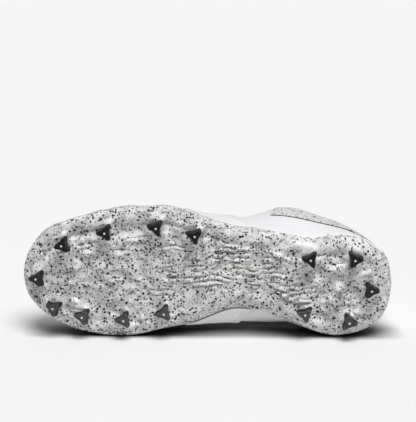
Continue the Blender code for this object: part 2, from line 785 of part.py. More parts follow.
def lay_down():
    """Works out the tilt and roll at which all three supports stand on one level."""
    sole_points = mesh_points(outsole)
    forefoot = sole_points[sole_points[:, 0] > 0.5 * SHOE_LENGTH * MM]
    heel = sole_points[sole_points[:, 0] < 0.3 * SHOE_LENGTH * MM]
    leather_names = ("upper", "saddle", "heel_wrap", "tongue")
    leather = [piece for piece in pieces if piece.name.startswith(leather_names)]
    body = np.concatenate([mesh_points(piece) for piece in leather])
    tilt = 0.0
    roll = 0.0
    for _ in range(40):
        turn = lay_matrix(tilt, roll)
        low_fore = (turn @ forefoot[np.argmin((forefoot @ turn.T)[:, 2])])
        low_heel = (turn @ heel[np.argmin((heel @ turn.T)[:, 2])])
        low_body = (turn @ body[np.argmin((body @ turn.T)[:, 2])])
        share = (low_body[0] - low_fore[0]) / (low_heel[0] - low_fore[0])
        sole_line = low_fore + (low_heel - low_fore) * share
        roll += 0.8 * (low_heel[2] - low_fore[2]) / (low_heel[0] - low_fore[0])
        reach_back = max(low_body[1] - sole_line[1], 0.25 * HEEL_HEIGHT * MM)
        tilt += 0.6 * (low_body[2] - sole_line[2]) / reach_back
    return tilt, roll


lay_tilt, lay_roll = lay_down()
turn = lay_matrix(lay_tilt, lay_roll)
laid = np.concatenate([mesh_points(piece) for piece in pieces]) @ turn.T
low, high = laid.min(axis=0), laid.max(axis=0)
place = -np.array([(low[0] + high[0]) / 2, (low[1] + high[1]) / 2, low[2]])
shoe = bpy.data.objects.new("shoe", None)
bpy.context.scene.collection.objects.link(shoe)
shoe.matrix_world = Matrix.Translation(Vector(place)) @ Matrix(turn.tolist()).to_4x4()
for piece in pieces:
    piece.parent = shoe
print("laid with tilt %.4f deg, roll %.4f deg, place %s" % (
    math.degrees(lay_tilt), math.degrees(lay_roll), np.round(place, 6).tolist()))
print("box %s" % np.round((high - low) * 1000, 1).tolist())
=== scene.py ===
# %% [markdown]
# # A left football cleat, resting on its inner side
# The measured solids of the shoe are loaded first and stay where they are. Every piece below is either
# laid over one of them or stands in for it, so nothing here changes the shoe's size.

# %% Load the measured solids
import math

import bpy
import numpy as np
from mathutils import Matrix, Vector


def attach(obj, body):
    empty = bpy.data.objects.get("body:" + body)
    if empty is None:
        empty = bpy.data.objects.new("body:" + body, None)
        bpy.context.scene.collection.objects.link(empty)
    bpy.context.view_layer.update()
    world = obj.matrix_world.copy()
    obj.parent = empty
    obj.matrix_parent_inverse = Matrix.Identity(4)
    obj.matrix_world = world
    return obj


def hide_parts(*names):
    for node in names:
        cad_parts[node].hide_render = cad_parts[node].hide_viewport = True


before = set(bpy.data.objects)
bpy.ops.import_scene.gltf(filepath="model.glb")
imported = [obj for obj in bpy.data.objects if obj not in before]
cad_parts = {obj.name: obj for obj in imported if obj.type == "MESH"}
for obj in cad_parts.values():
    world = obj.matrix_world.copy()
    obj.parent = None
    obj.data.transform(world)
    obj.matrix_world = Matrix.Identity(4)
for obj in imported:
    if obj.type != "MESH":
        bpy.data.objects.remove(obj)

scene = bpy.context.scene
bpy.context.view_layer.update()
print("solids:", len(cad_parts))

# %% [markdown]
# ## The shoe's own axes
# A shoemaker thinks along the shoe: u from heel to toe, v to the outer side, w up from the stud tips, in
# millimetres. The shoe lies on its side, so two small turns carry these axes to the room's, in metres.

# %% From shoe sizes to room sizes
MM = 0.001
LAY_TILT = math.radians(4.0862)
LAY_ROLL = math.radians(2.0121)
LAY_PLACE = np.array([0.149983, -0.068089, 0.045066])


def lay_matrix():
    """Toe to -X, outer side up, ground to -Y; then the roll along the floor and the tilt back."""
    stand = np.array([[-1.0, 0, 0], [0, 0, 1], [0, 1, 0]])
    roll = np.array(Matrix.Rotation(LAY_ROLL, 3, "Y"))
    tilt = np.array(Matrix.Rotation(-LAY_TILT, 3, "X"))
    return tilt @ roll @ stand


LAY = lay_matrix()


def to_room(points):
    """Shoe millimetres to room metres."""
    return np.asarray(points, float) @ LAY.T * MM + LAY_PLACE


def to_shoe(points):
    """Room metres to shoe millimetres."""
    return (np.asarray(points, float) - LAY_PLACE) @ LAY / MM


TOE_TIP = (300.0, -5.0, 24.0)
print("toe tip in the room:", np.round(to_room(TOE_TIP), 4))

# %% [markdown]
# ## Camera
# The photograph looks at the sole from a little above. The camera's place was fitted so that the fourteen
# studs fall where the picture shows them.

# %% Set the camera
IMAGE_WIDTH, IMAGE_HEIGHT = 416, 422
CAMERA_ELEVATION = math.radians(15.27)
CAMERA_ROLL = math.radians(0.35)
CAMERA_DISTANCE = 1.25
CAMERA_AIM = np.array([-0.0003, -0.05, 0.1047])
FOCAL_PIXELS = 1557.4
SENSOR = 36.0
NEAREST, FARTHEST = 0.05, 60.0

bpy.ops.object.select_all(action="DESELECT")
bpy.ops.object.camera_add()
camera = bpy.context.object
camera.name = "photo_camera"
away = np.array([0.0, -math.cos(CAMERA_ELEVATION), math.sin(CAMERA_ELEVATION)])
level = np.array([1.0, 0.0, 0.0])
upright = np.cross(level, -away)
side = level * math.cos(CAMERA_ROLL) + upright * math.sin(CAMERA_ROLL)
rise = upright * math.cos(CAMERA_ROLL) - level * math.sin(CAMERA_ROLL)
eye = CAMERA_AIM + away * CAMERA_DISTANCE
turned = np.eye(4)
turned[:3, :] = np.stack([side, rise, away, eye], axis=1)
camera.matrix_world = Matrix(turned.tolist())
camera.data.sensor_width = SENSOR
camera.data.lens = FOCAL_PIXELS / max(IMAGE_WIDTH, IMAGE_HEIGHT) * SENSOR
camera.data.clip_start = NEAREST
camera.data.clip_end = FARTHEST
scene.camera = camera
print("lens in mm: %.1f" % camera.data.lens)

# %% [markdown]
# ## Nodes by name
# Materials are trees of nodes. One helper adds a node, sets its options, and sets or links its inputs. A few
# more add the kinds that turn up most, so that each tree below reads like a recipe.

# %% Helpers for node trees
def add_node(tree, kind, inputs=(), **options):
    """Adds a node, sets its options, and sets or links its inputs."""
    made = tree.nodes.new(kind)
    for key, value in options.items():
        setattr(made, key, value)
    for key, value in dict(inputs).items():
        if isinstance(value, bpy.types.NodeSocket):
            tree.links.new(value, made.inputs[key])
        else:
            made.inputs[key].default_value = value
    return made


def calculate(tree, operation, first, second=0.0, third=0.0):
    """Adds a Math node and gives its result."""
    inputs = {0: first, 1: second, 2: third}
    return add_node(tree, "ShaderNodeMath", inputs, operation=operation).outputs[0]


def blend_colours(tree, share, first, second):
    """Mixes two colours by a share and gives the result."""
    made = add_node(tree, "ShaderNodeMix", {0: share, 6: first, 7: second}, data_type="RGBA")
    return made.outputs[2]


def map_range(tree, value, low, high, to_low=0.0, to_high=1.0, kind="LINEAR"):
    """Carries one range of numbers to another, held at both ends, and gives the result."""
    inputs = {0: value, 1: low, 2: high, 3: to_low, 4: to_high}
    return add_node(tree, "ShaderNodeMapRange", inputs, interpolation_type=kind).outputs[0]


def noise(tree, vector, scale, detail):
    """Adds a cloud of soft noise and gives its outputs, the value first."""
    inputs = {"Vector": vector, "Scale": scale, "Detail": detail}
    return add_node(tree, "ShaderNodeTexNoise", inputs).outputs


def stored_number(tree, name):
    """Reads a number that is stored on the corners of a mesh."""
    return add_node(tree, "ShaderNodeAttribute", attribute_name=name).outputs["Fac"]


def grey(value):
    """A neutral colour."""
    return (value, value, value, 1.0)


def cool_grey(value, blue):
    """A grey with a little more blue in it."""
    return (value, value, blue, 1.0)


# %% [markdown]
# ## Floor, light and view
# A product photograph is taken on a white sweep under a large soft lamp. Here a wide plane with no visible
# end is the sweep. A broad lamp above, a little in front, catches every edge of the sole that looks up. A
# weak lamp beside the camera fills in, a very broad one behind brightens the leather, and the light all round
# is kept low. Close to the sole a contact shadow is painted into the floor's colour, in a soft band where so
# large a lamp hardly reaches.

# %% Lay the floor and set the light
PALE = 0.915
SKY_LIGHT = 0.15
LAMPS = {
    "overhead_lamp": {"strength": 2.9, "spread": math.radians(38), "way": (0.14, -0.32, 0.94)},
    "front_fill": {"strength": 0.10, "spread": math.radians(40), "way": (0.16, -0.97, 0.17)},
    "back_fill": {"strength": 0.55, "spread": math.radians(120), "way": (-0.10, 0.86, 0.50)},
}
FLOOR_SIZE, FLOOR_ROUGHNESS = 30.0, 0.9
FLOOR_SEEN, FLOOR_BOUNCE = 0.82, 0.74
# Reach, power and tone of the contact shadow painted into the floor's colour, and the line and fade that
# bound it.
PAINTED_SHADOW_REACH, PAINTED_SHADOW_POWER, PAINTED_SHADOW_TONE = 0.027, 1.9, 0.02
SHADE_FRONT, SHADE_SOFT = -0.0655, 0.0130
SHADE_FADE, SHADE_BACK = -0.040, -0.010

bpy.ops.object.select_all(action="DESELECT")
bpy.ops.mesh.primitive_plane_add(size=FLOOR_SIZE)
floor = bpy.context.object
floor.name = "pale_floor"
floor_paint = bpy.data.materials.new("pale_floor")
floor_paint.use_nodes = True
tree = floor_paint.node_tree
shader = tree.nodes["Principled BSDF"]
seen = add_node(tree, "ShaderNodeLightPath").outputs["Is Camera Ray"]
# Painted contact shadow: the floor's colour darkens where little is open above it, behind a straight line
# just in front of the sole, fading further back.
openness = add_node(tree, "ShaderNodeAmbientOcclusion", {"Distance": PAINTED_SHADOW_REACH}).outputs["AO"]
hidden = calculate(tree, "SUBTRACT", 1.0, calculate(tree, "POWER", openness, PAINTED_SHADOW_POWER))
places = add_node(tree, "ShaderNodeTexCoord").outputs["Object"]
backward = add_node(tree, "ShaderNodeSeparateXYZ", {0: places}).outputs["Y"]
behind = map_range(tree, backward, SHADE_FRONT, SHADE_FRONT + SHADE_SOFT, kind="SMOOTHSTEP")
before = map_range(tree, backward, SHADE_BACK, SHADE_FADE, kind="SMOOTHSTEP")
shade = calculate(tree, "MULTIPLY", calculate(tree, "MULTIPLY", hidden, behind), before)
shaded = blend_colours(tree, shade, grey(FLOOR_SEEN), grey(PAINTED_SHADOW_TONE))
floor_colour_with_painted_shadow = blend_colours(tree, seen, grey(FLOOR_BOUNCE), shaded)
tree.links.new(floor_colour_with_painted_shadow, shader.inputs["Base Color"])
shader.inputs["Roughness"].default_value = FLOOR_ROUGHNESS
shader.inputs["Specular IOR Level"].default_value = 0.0
floor.data.materials.append(floor_paint)

for lamp_name, lamp in LAMPS.items():
    bpy.ops.object.light_add(type="SUN")
    sun = bpy.context.object
    sun.name = lamp_name
    sun.data.energy = lamp["strength"]
    sun.data.angle = lamp["spread"]
    sun.rotation_mode = "QUATERNION"
    sun.rotation_quaternion = Vector(lamp["way"]).to_track_quat("Z", "Y")

world = bpy.data.worlds.new("studio")
scene.world = world
world.use_nodes = True
tree = world.node_tree
tree.nodes.clear()
around = add_node(tree, "ShaderNodeBackground", {"Color": grey(1.0), "Strength": SKY_LIGHT})
backdrop = add_node(tree, "ShaderNodeBackground", {"Color": grey(PALE), "Strength": 1.0})
seen = add_node(tree, "ShaderNodeLightPath").outputs["Is Camera Ray"]
both = add_node(tree, "ShaderNodeMixShader", {0: seen, 1: around.outputs[0], 2: backdrop.outputs[0]})
add_node(tree, "ShaderNodeOutputWorld", {"Surface": both.outputs[0]})
scene.view_settings.view_transform = "Standard"
print("floor brightness should be near", PALE)

# %% [markdown]
# ## The last
# A shoe is built over a last, the wooden form of a foot. Here the last is a function: short tables give the
# sole's outline, its heights, the top edge of the upper and how far each section swells. They are the same
# tables that the solids were made from, so every sheet below lies exactly where its solid does.

# %% Tables of the last
SHOE_LENGTH, BALL_WIDTH, INSTEP_HEIGHT, HEEL_HEIGHT = 300.0, 106.0, 91.0, 81.5
GAP, UPPER_WALL, COLLAR_WALL, OVERLAY = 0.3, 2.2, 3.0, 1.2
WRAP_GAP, SADDLE_GAP, RIM_GAP, RIM_FOOT, RIM_TOP = 0.5, 0.9, 0.45, 3.0, 1.6
HEEL = 19.0
LOOP = 2 * HEEL
TOE_FAN, HEEL_FAN = 4.0, 15.3
RIDGE_FRONT, THROAT_FRONT, TOP_EYELET = 3.0, 7.0, 11.8


def table(columns, rows):
    """Names the columns of a short table of rows."""
    return dict(zip(columns.split(), np.array(rows, float).T))


OUTLINE = table("station medial_along medial_across lateral_along lateral_across", [
    (0, 1.000, -0.047, 1.000, -0.047),
    (1, 0.988, -0.193, 0.992, 0.099),
    (2, 0.963, -0.283, 0.971, 0.217),
    (3, 0.929, -0.352, 0.936, 0.314),
    (4, 0.876, -0.426, 0.880, 0.397),
    (5, 0.813, -0.464, 0.817, 0.457),
    (6, 0.747, -0.481, 0.747, 0.511),
    (7, 0.683, -0.464, 0.680, 0.525),
    (8, 0.617, -0.413, 0.617, 0.536),
    (9, 0.553, -0.351, 0.553, 0.494),
    (10, 0.490, -0.275, 0.493, 0.438),
    (11, 0.430, -0.217, 0.433, 0.387),
    (12, 0.370, -0.219, 0.370, 0.373),
    (13, 0.307, -0.272, 0.307, 0.338),
    (14, 0.237, -0.359, 0.237, 0.312),
    (15, 0.163, -0.418, 0.167, 0.349),
    (16, 0.097, -0.393, 0.103, 0.349),
    (17, 0.043, -0.317, 0.050, 0.275),
    (18, 0.013, -0.198, 0.020, 0.187),
    (19, 0.004, -0.005, 0.004, -0.005),
])
SOLE = table("along bottom floor rim", [
    (0.00, 15.0, 22.5, 8.0),
    (0.07, 12.4, 22.0, 9.0),
    (0.18, 12.0, 21.5, 9.0),
    (0.28, 13.4, 21.5, 6.0),
    (0.39, 17.0, 22.0, 4.0),
    (0.47, 16.4, 21.4, 4.0),
    (0.55, 13.4, 20.0, 6.0),
    (0.63, 12.2, 18.2, 8.0),
    (0.72, 12.0, 17.0, 9.0),
    (0.82, 12.8, 17.5, 10.0),
    (0.90, 16.0, 20.3, 12.0),
    (0.97, 21.0, 25.0, 13.0),
    (1.00, 23.4, 27.3, 14.0),
])
TOP = table("station along medial lateral of_instep of_heel", [
    (3.0, 0.903, -0.005, -0.005, 0.385, 0.00),
    (4.0, 0.868, -0.003, -0.003, 0.435, 0.00),
    (5.0, 0.820, 0.000, 0.000, 0.495, 0.00),
    (6.0, 0.753, 0.005, 0.005, 0.580, 0.00),
    (7.0, 0.693, 0.010, 0.010, 0.655, 0.00),
    (7.4, 0.685, -0.050, 0.070, 0.665, 0.00),
    (8.0, 0.657, -0.080, 0.102, 0.700, 0.00),
    (9.5, 0.557, -0.100, 0.135, 0.815, 0.00),
    (11.0, 0.457, -0.135, 0.170, 0.940, 0.00),
    (11.8, 0.407, -0.170, 0.200, 1.000, 0.00),
    (12.3, 0.375, -0.225, 0.275, 0.970, 0.02),
    (13.0, 0.327, -0.305, 0.375, 0.550, 0.40),
    (14.0, 0.260, -0.370, 0.415, 0.100, 0.79),
    (15.0, 0.190, -0.376, 0.372, 0.000, 0.85),
    (16.0, 0.127, -0.318, 0.308, 0.000, 0.87),
    (17.0, 0.073, -0.228, 0.220, 0.000, 0.91),
    (18.0, 0.040, -0.115, 0.113, 0.000, 0.96),
    (19.0, 0.028, 0.000, 0.000, 0.000, 0.98),
])
MEDIAL_SWELL = table("station spread lift reach drop", [
    (0, 1.5, 13, 12, 0),
    (2, 1.5, 14, 15, 0),
    (4, 2.0, 18, 22, 1),
    (6, 3.0, 27, 27, 3),
    (8, 12, 20, 25, 10),
    (9.5, 29, 8, 24, 22),
    (11, 41, 7, 24, 34),
    (12, 40, 7, 21, 36),
    (13, 27, 10, 14, 32),
    (14, 10, 20, 6, 28),
    (15, 2.5, 24, 3, 26),
    (16, 2.5, 24, 3, 26),
    (17, 4.0, 24, 2, 26),
    (18, 6.0, 24, 0.5, 26),
    (19, 8.0, 24, -1, 26),
])
LATERAL_SWELL = table("station spread lift reach drop", [
    (0, 1.5, 13, 12, 0),
    (2, 1.5, 14, 15, 0),
    (4, 2.0, 18, 22, 1),
    (6, 3.0, 27, 28, 3),
    (8, 3.0, 30, 27, 8),
    (9.5, 5.0, 28, 26, 16),
    (11, 10, 24, 25, 21),
    (12, 11, 24, 22, 26),
    (13, 13, 24, 12, 28),
    (14, 14, 24, 6, 28),
    (15, 6.0, 24, 4, 26),
    (16, 3.0, 24, 3, 26),
    (17, 4.0, 24, 2, 26),
    (18, 6.0, 24, 0.5, 26),
    (19, 8.0, 24, -1, 26),
])

# %% [markdown]
# A soft curve through each table turns a handful of measured rows into a smooth form. Places go once round
# the shoe: 0 at the toe, up the inner side to 19 at the heel, and back along the outer side to 38.

# %% Functions of the last
def smooth(places, values, wanted):
    """Runs a soft curve through values known at some places and reads it at the wanted ones."""
    slopes = np.gradient(values, places)
    wanted = np.clip(wanted, places[0], places[-1])
    first = np.clip(np.searchsorted(places, wanted, side="right") - 1, 0, len(places) - 2)
    width = places[first + 1] - places[first]
    share = (wanted - places[first]) / width
    start = values[first] * (1 + 2 * share) * (1 - share) ** 2
    end = values[first + 1] * share ** 2 * (3 - 2 * share)
    leave = slopes[first] * width * share * (1 - share) ** 2
    arrive = slopes[first + 1] * width * share ** 2 * (1 - share)
    return start + end + leave - arrive


TINY = 1e-9
SECTION_CLIMBS = np.linspace(0, 1, 61)


def unit(vectors):
    """Directions of length one along the given vectors."""
    return vectors / np.linalg.norm(vectors, axis=-1, keepdims=True)


def run_lengths(points):
    """Length from the first point to each point of a line, or of each of several lines."""
    steps = np.linalg.norm(np.diff(points, axis=-2), axis=-1)
    start = np.zeros(steps.shape[:-1] + (1,))
    return np.concatenate([start, np.cumsum(steps, axis=-1)], axis=-1)


def read_loop(stations, medial, lateral, place):
    """Reads a pair of side tables at places round the loop."""
    inner = slice(1, -1)
    ring_places = np.concatenate([stations, LOOP - stations[inner][::-1]])
    ring_values = np.concatenate([medial, lateral[inner][::-1]])
    places = np.concatenate([ring_places[-4:] - LOOP, ring_places, ring_places[:4] + LOOP])
    values = np.concatenate([ring_values[-4:], ring_values, ring_values[:4]])
    return smooth(places, values, np.mod(place, LOOP))


def station_of(place):
    """Station along its own side of a place round the loop."""
    place = np.mod(place, LOOP)
    return np.minimum(place, LOOP - place)


def on_side(station, lateral):
    """Place round the loop of a station on the outer or the inner side."""
    return LOOP - station if lateral else station


def outline(place):
    """Plan of the sole's side and its outward direction at places round the loop."""
    def plan(at):
        along = read_loop(OUTLINE["station"], OUTLINE["medial_along"], OUTLINE["lateral_along"], at)
        across = read_loop(OUTLINE["station"], OUTLINE["medial_across"], OUTLINE["lateral_across"], at)
        return np.stack([along * SHOE_LENGTH, across * BALL_WIDTH], axis=-1)

    step = 0.02
    run = plan(place + step) - plan(place - step)
    outward = unit(np.stack([-run[..., 1], run[..., 0]], axis=-1))
    return plan(place), outward


def sole_height(column, along):
    """Reads one height of the plate at a distance along the shoe."""
    return smooth(SOLE["along"] * SHOE_LENGTH, SOLE[column], along)


def join_height(plan, height):
    """Puts a height on points of the plan."""
    height = np.broadcast_to(height, plan.shape[:-1])
    return np.concatenate([plan, height[..., None]], axis=-1)


def base_edge(place):
    """Bottom edge of the upper, inside the sole's side, and its outward direction."""
    plan, outward = outline(place)
    inside = plan - outward * (RIM_FOOT + GAP)
    return join_height(inside, sole_height("floor", inside[..., 0]) + GAP), outward


def top_edge(place):
    """Top edge of the upper: one shared ridge over the vamp, then throat and collar."""
    def one_side(at):
        station = np.maximum(station_of(at), RIDGE_FRONT)
        along = smooth(TOP["station"], TOP["along"], station) * SHOE_LENGTH
        medial = smooth(TOP["station"], TOP["medial"], station)
        lateral = smooth(TOP["station"], TOP["lateral"], station)
        across = np.where(np.mod(at, LOOP) <= HEEL, medial, lateral) * BALL_WIDTH
        climb = smooth(TOP["station"], TOP["of_instep"], station) * INSTEP_HEIGHT
        climb = climb + smooth(TOP["station"], TOP["of_heel"], station) * HEEL_HEIGHT
        return np.stack([along, across, sole_height("floor", along) + climb], axis=-1)

    shared = (one_side(place) + one_side(LOOP - place)) / 2
    welded = (station_of(place) <= THROAT_FRONT)[..., None]
    return np.where(welded, shared, one_side(place))


def swell(column, place):
    """Reads one swelling size of the section at places round the loop."""
    return read_loop(MEDIAL_SWELL["station"], MEDIAL_SWELL[column], LATERAL_SWELL[column], place)


def upper_point(place, climb):
    """A point on the outer face of the upper; climb runs from 0 at the sole to 1 at the top edge."""
    place, climb = np.broadcast_arrays(np.asarray(place, float), np.asarray(climb, float))
    base, outward = base_edge(place)
    top = top_edge(place)
    level = join_height(outward, 0.0)
    upward = np.array([0.0, 0.0, 1.0])
    leave = base + level * swell("spread", place)[..., None] + upward * swell("lift", place)[..., None]
    arrive = top + level * swell("reach", place)[..., None] - upward * swell("drop", place)[..., None]
    share = climb[..., None]
    rest = 1 - share
    return (base * rest ** 3 + 3 * leave * rest ** 2 * share
            + 3 * arrive * rest * share ** 2 + top * share ** 3)


def upper_normal(place, climb):
    """Outward direction of the upper's face."""
    place, climb = np.broadcast_arrays(np.asarray(place, float), np.asarray(climb, float))
    step = 0.02
    climb = np.clip(climb, step, 1 - step)
    round_loop = upper_point(place + step, climb) - upper_point(place - step, climb)
    up_side = upper_point(place, climb + step) - upper_point(place, climb - step)
    normal = np.cross(up_side, round_loop)
    length = np.linalg.norm(normal, axis=-1, keepdims=True)
    return normal / np.maximum(length, TINY)


def section_lengths(place):
    """Lengths up the sections at some places, from the sole to each of the section's climbs."""
    place = np.atleast_1d(np.asarray(place, float))
    return run_lengths(upper_point(place[:, None], SECTION_CLIMBS[None, :]))


def climb_at(place, length):
    """Climb of the point some length up the section from the sole, or down from the top if negative."""
    runs = section_lengths(place)
    wanted = np.broadcast_to(np.asarray(length, float), (len(runs),))
    wanted = np.where(wanted < 0, runs[:, -1] + wanted, wanted)
    return np.array([np.interp(one, run, SECTION_CLIMBS) for one, run in zip(wanted, runs)])


def side_girth(place):
    """Length of the section from the sole to the top edge."""
    return section_lengths(place)[:, -1]


print("girth of the outer side at the ball: %.1f mm" % side_girth([LOOP - 6.0])[0])

# %% [markdown]
# ## Lasting a sheet
# Leather starts flat. A primitive grid plays the flat sheet, and its corners are then carried to points on
# the last. The other helpers here take the steps that many pieces share, such as merging and finishing.

# %% Helpers for modelling
SMOOTH_ANGLE = math.radians(38)
MERGE_DISTANCE = 0.00001


def start_fresh(piece=None):
    """Deselects everything, then makes one piece the selected and active one."""
    bpy.ops.object.select_all(action="DESELECT")
    if piece is not None:
        piece.select_set(True)
        bpy.context.view_layer.objects.active = piece


def places_of(piece):
    """All corners of a mesh as an array, in room metres."""
    spots = np.empty(len(piece.data.vertices) * 3)
    piece.data.vertices.foreach_get("co", spots)
    return spots.reshape(-1, 3)


def directions_of(piece):
    """Outward directions at all corners of a mesh."""
    ways = np.empty(len(piece.data.vertices) * 3, np.float32)
    piece.data.vertex_normals.foreach_get("vector", ways)
    return ways.reshape(-1, 3).astype(float)


def move_corners(piece, spots):
    """Puts the corners of a mesh at new places."""
    piece.data.vertices.foreach_set("co", np.asarray(spots, float).ravel())
    piece.data.update()


def edit_all(piece, *steps):
    """Takes editing steps, each with its options, on all corners and faces of a piece."""
    start_fresh(piece)
    bpy.ops.object.mode_set(mode="EDIT")
    bpy.ops.mesh.select_all(action="SELECT")
    for step, options in steps:
        step(**options)
    bpy.ops.object.mode_set(mode="OBJECT")


def merge_corners(piece):
    """Joins corners that lie on each other, so that seams and poles close."""
    near = {"threshold": MERGE_DISTANCE}
    edit_all(piece, (bpy.ops.mesh.remove_doubles, near), (bpy.ops.mesh.dissolve_degenerate, near))


def turn_outwards(piece):
    """Makes all faces of a closed mesh look outwards."""
    edit_all(piece, (bpy.ops.mesh.normals_make_consistent, {"inside": False}))


def add_piece(name, mesh):
    """Puts a mesh into the scene as a piece of its own."""
    piece = bpy.data.objects.new(name, mesh)
    scene.collection.objects.link(piece)
    return piece


def add_mesh(name, points, faces):
    """A closed piece from points in shoe millimetres and the faces between them."""
    mesh = bpy.data.meshes.new(name)
    mesh.from_pydata(to_room(points).tolist(), [], faces)
    piece = add_piece(name, mesh)
    turn_outwards(piece)
    return piece


def join_pieces(pieces):
    """Joins several pieces into one."""
    start_fresh(pieces[0])
    for piece in pieces[1:]:
        piece.select_set(True)
    bpy.ops.object.join()
    return bpy.context.object


def apply_modifier(piece, kind, **options):
    """Adds a modifier with its options and applies it."""
    start_fresh(piece)
    modifier = piece.modifiers.new(kind.lower(), kind)
    for key, value in options.items():
        setattr(modifier, key, value)
    bpy.ops.object.modifier_apply(modifier=modifier.name)


def lasted_sheet(name, points, outward=None):
    """A primitive grid carried to a grid of points in shoe millimetres, facing outwards."""
    rows, columns = points.shape[:2]
    start_fresh()
    bpy.ops.mesh.primitive_grid_add(x_subdivisions=columns - 1, y_subdivisions=rows - 1, size=1.0)
    sheet = bpy.context.object
    sheet.name = name
    sheet.data.name = name
    share = places_of(sheet) + 0.5
    column = np.rint(share[:, 0] * (columns - 1)).astype(int)
    row = np.rint(share[:, 1] * (rows - 1)).astype(int)
    move_corners(sheet, to_room(points[row, column]))
    if outward is not None:
        wanted = outward[row, column] @ LAY.T
        if (directions_of(sheet) * wanted).sum() < 0:
            sheet.data.flip_normals()
    return sheet


def finish_piece(piece, materials, slot, *nodes):
    """Gives a piece its materials and smooth shading, attaches it to the root and hides its solids; slot is
    not used.
    """
    piece.data.materials.clear()
    for material in materials:
        piece.data.materials.append(material)
    start_fresh(piece)
    bpy.ops.object.shade_smooth_by_angle(angle=SMOOTH_ANGLE)
    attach(piece, "root")
    if nodes:
        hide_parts(*nodes)
    piece.data.calc_loop_triangles()
    print(piece.name, "triangles:", len(piece.data.loop_triangles))


# %% [markdown]
# ## Shared finishes
# Three effects turn up in several materials, so each is a node group with named sockets. The first is the
# specks thrown into the plastic. They are angular flakes, so a pattern of straight-sided cells is bent by
# noise, and only a share of the cells holds a flake.

# %% Specks in the plastic
VECTOR, NUMBER = "NodeSocketVector", "NodeSocketFloat"
SIZED = {"Vector": VECTOR, "Size": NUMBER}
FLAKE_BEND = (0.9, 0.9, 0.9)
FLAKE_LEAST, FLAKE_MORE = 0.33, 0.36
FLAKE_EDGE = (-0.03, 0.05)


def new_group(name, inputs, outputs):
    """Starts a node group with named number or vector inputs and number outputs."""
    group = bpy.data.node_groups.new(name, "ShaderNodeTree")
    for label, kind in inputs.items():
        group.interface.new_socket(label, in_out="INPUT", socket_type=kind)
    for label in outputs:
        group.interface.new_socket(label, in_out="OUTPUT", socket_type=NUMBER)
    given = group.nodes.new("NodeGroupInput").outputs
    result = group.nodes.new("NodeGroupOutput").inputs
    return group, given, result


def vector_math(tree, operation, inputs):
    """Adds a Vector Math node and gives its result."""
    return add_node(tree, "ShaderNodeVectorMath", inputs, operation=operation).outputs[0]


def scaled_vector(tree, vector, size):
    """Coordinates counted in sizes of some millimetres."""
    factor = calculate(tree, "DIVIDE", 1.0 / MM, size)
    return vector_math(tree, "SCALE", {0: vector, "Scale": factor})


def specks_group():
    """Angular flakes: a share of the cells of a bent cell pattern holds one flake each."""
    group, given, result = new_group("specks", SIZED | {"Share": NUMBER}, ["Mask"])
    counted = scaled_vector(group, given["Vector"], given["Size"])
    cloud = noise(group, counted, scale=1.7, detail=2.0)["Color"]
    shift = vector_math(group, "SUBTRACT", {0: cloud, 1: (0.5, 0.5, 0.5)})
    bent = vector_math(group, "MULTIPLY_ADD", {0: shift, 1: FLAKE_BEND, 2: counted})
    pattern = {"Vector": bent, "Scale": 1.0}
    cells = add_node(group, "ShaderNodeTexVoronoi", pattern, distance="MANHATTAN").outputs
    chance = add_node(group, "ShaderNodeSeparateColor", {0: cells["Color"]}).outputs
    held = calculate(group, "LESS_THAN", chance[0], given["Share"])
    reach = calculate(group, "MULTIPLY_ADD", chance[1], FLAKE_MORE, FLAKE_LEAST)
    inside = calculate(group, "SUBTRACT", reach, cells["Distance"])
    edge = map_range(group, inside, *FLAKE_EDGE)
    group.links.new(calculate(group, "MULTIPLY", held, edge), result["Mask"])
    return group


SPECKS = specks_group()
print("made group", SPECKS.name)

# %% [markdown]
# Leather is a field of fine pebbles with furrows between them, which rounded cells imitate. A second, much
# wider noise changes the tone slowly, because no hide is quite even.

# %% Grain of leather
PEBBLE_CROWN, FINE_GRAIN = 0.32, 0.35


def grain_group():
    """Fine pebbles with soft furrows, and a slow change of tone."""
    group, given, result = new_group("leather_grain", SIZED, ["Height", "Tone"])
    counted = scaled_vector(group, given["Vector"], given["Size"])
    pattern = {"Vector": counted, "Scale": 1.0}
    pebbles = add_node(group, "ShaderNodeTexVoronoi", pattern, feature="DISTANCE_TO_EDGE").outputs
    crowned = map_range(group, pebbles["Distance"], 0.0, PEBBLE_CROWN)
    fine = noise(group, counted, scale=3.1, detail=3.0)[0]
    group.links.new(calculate(group, "MULTIPLY_ADD", fine, FINE_GRAIN, crowned), result["Height"])
    group.links.new(noise(group, counted, scale=0.045, detail=3.0)[0], result["Tone"])
    return group


GRAIN = grain_group()
print("made group", GRAIN.name)

# %% [markdown]
# In cloth, threads go over and under each other. Two crossed sine waves make that chequer of small hills, and
# one such pair for each two axes lets it show on a face that looks any way.

# %% Threads of a weave
THREAD_HEIGHT, THREAD_MIDDLE = 0.3, 0.5


def weave_group():
    """Threads that go over and under each other, from crossed waves along each two axes."""
    group, given, result = new_group("weave", SIZED, ["Height"])
    counted = scaled_vector(group, given["Vector"], given["Size"])
    axes = add_node(group, "ShaderNodeSeparateXYZ", {0: counted}).outputs
    waves = []
    for first, second in ((0, 1), (1, 2), (2, 0)):
        warp = calculate(group, "SINE", calculate(group, "MULTIPLY", axes[first], math.pi))
        weft = calculate(group, "SINE", calculate(group, "MULTIPLY", axes[second], math.pi))
        waves.append(calculate(group, "MULTIPLY", warp, weft))
    total = calculate(group, "ADD", calculate(group, "ADD", waves[0], waves[1]), waves[2])
    height = calculate(group, "MULTIPLY_ADD", total, THREAD_HEIGHT, THREAD_MIDDLE)
    group.links.new(height, result["Height"])
    return group


WEAVE = weave_group()
print("made group", WEAVE.name)

# %% [markdown]
# ## Materials
# Each finish starts from the Principled shader. Its colour, roughness and bump come from the groups, with
# sizes that were read off the photograph at about 1.2 picture points to a millimetre.

# %% Start a material
TONE_LOW, TONE_HIGH = 0.3, 0.7


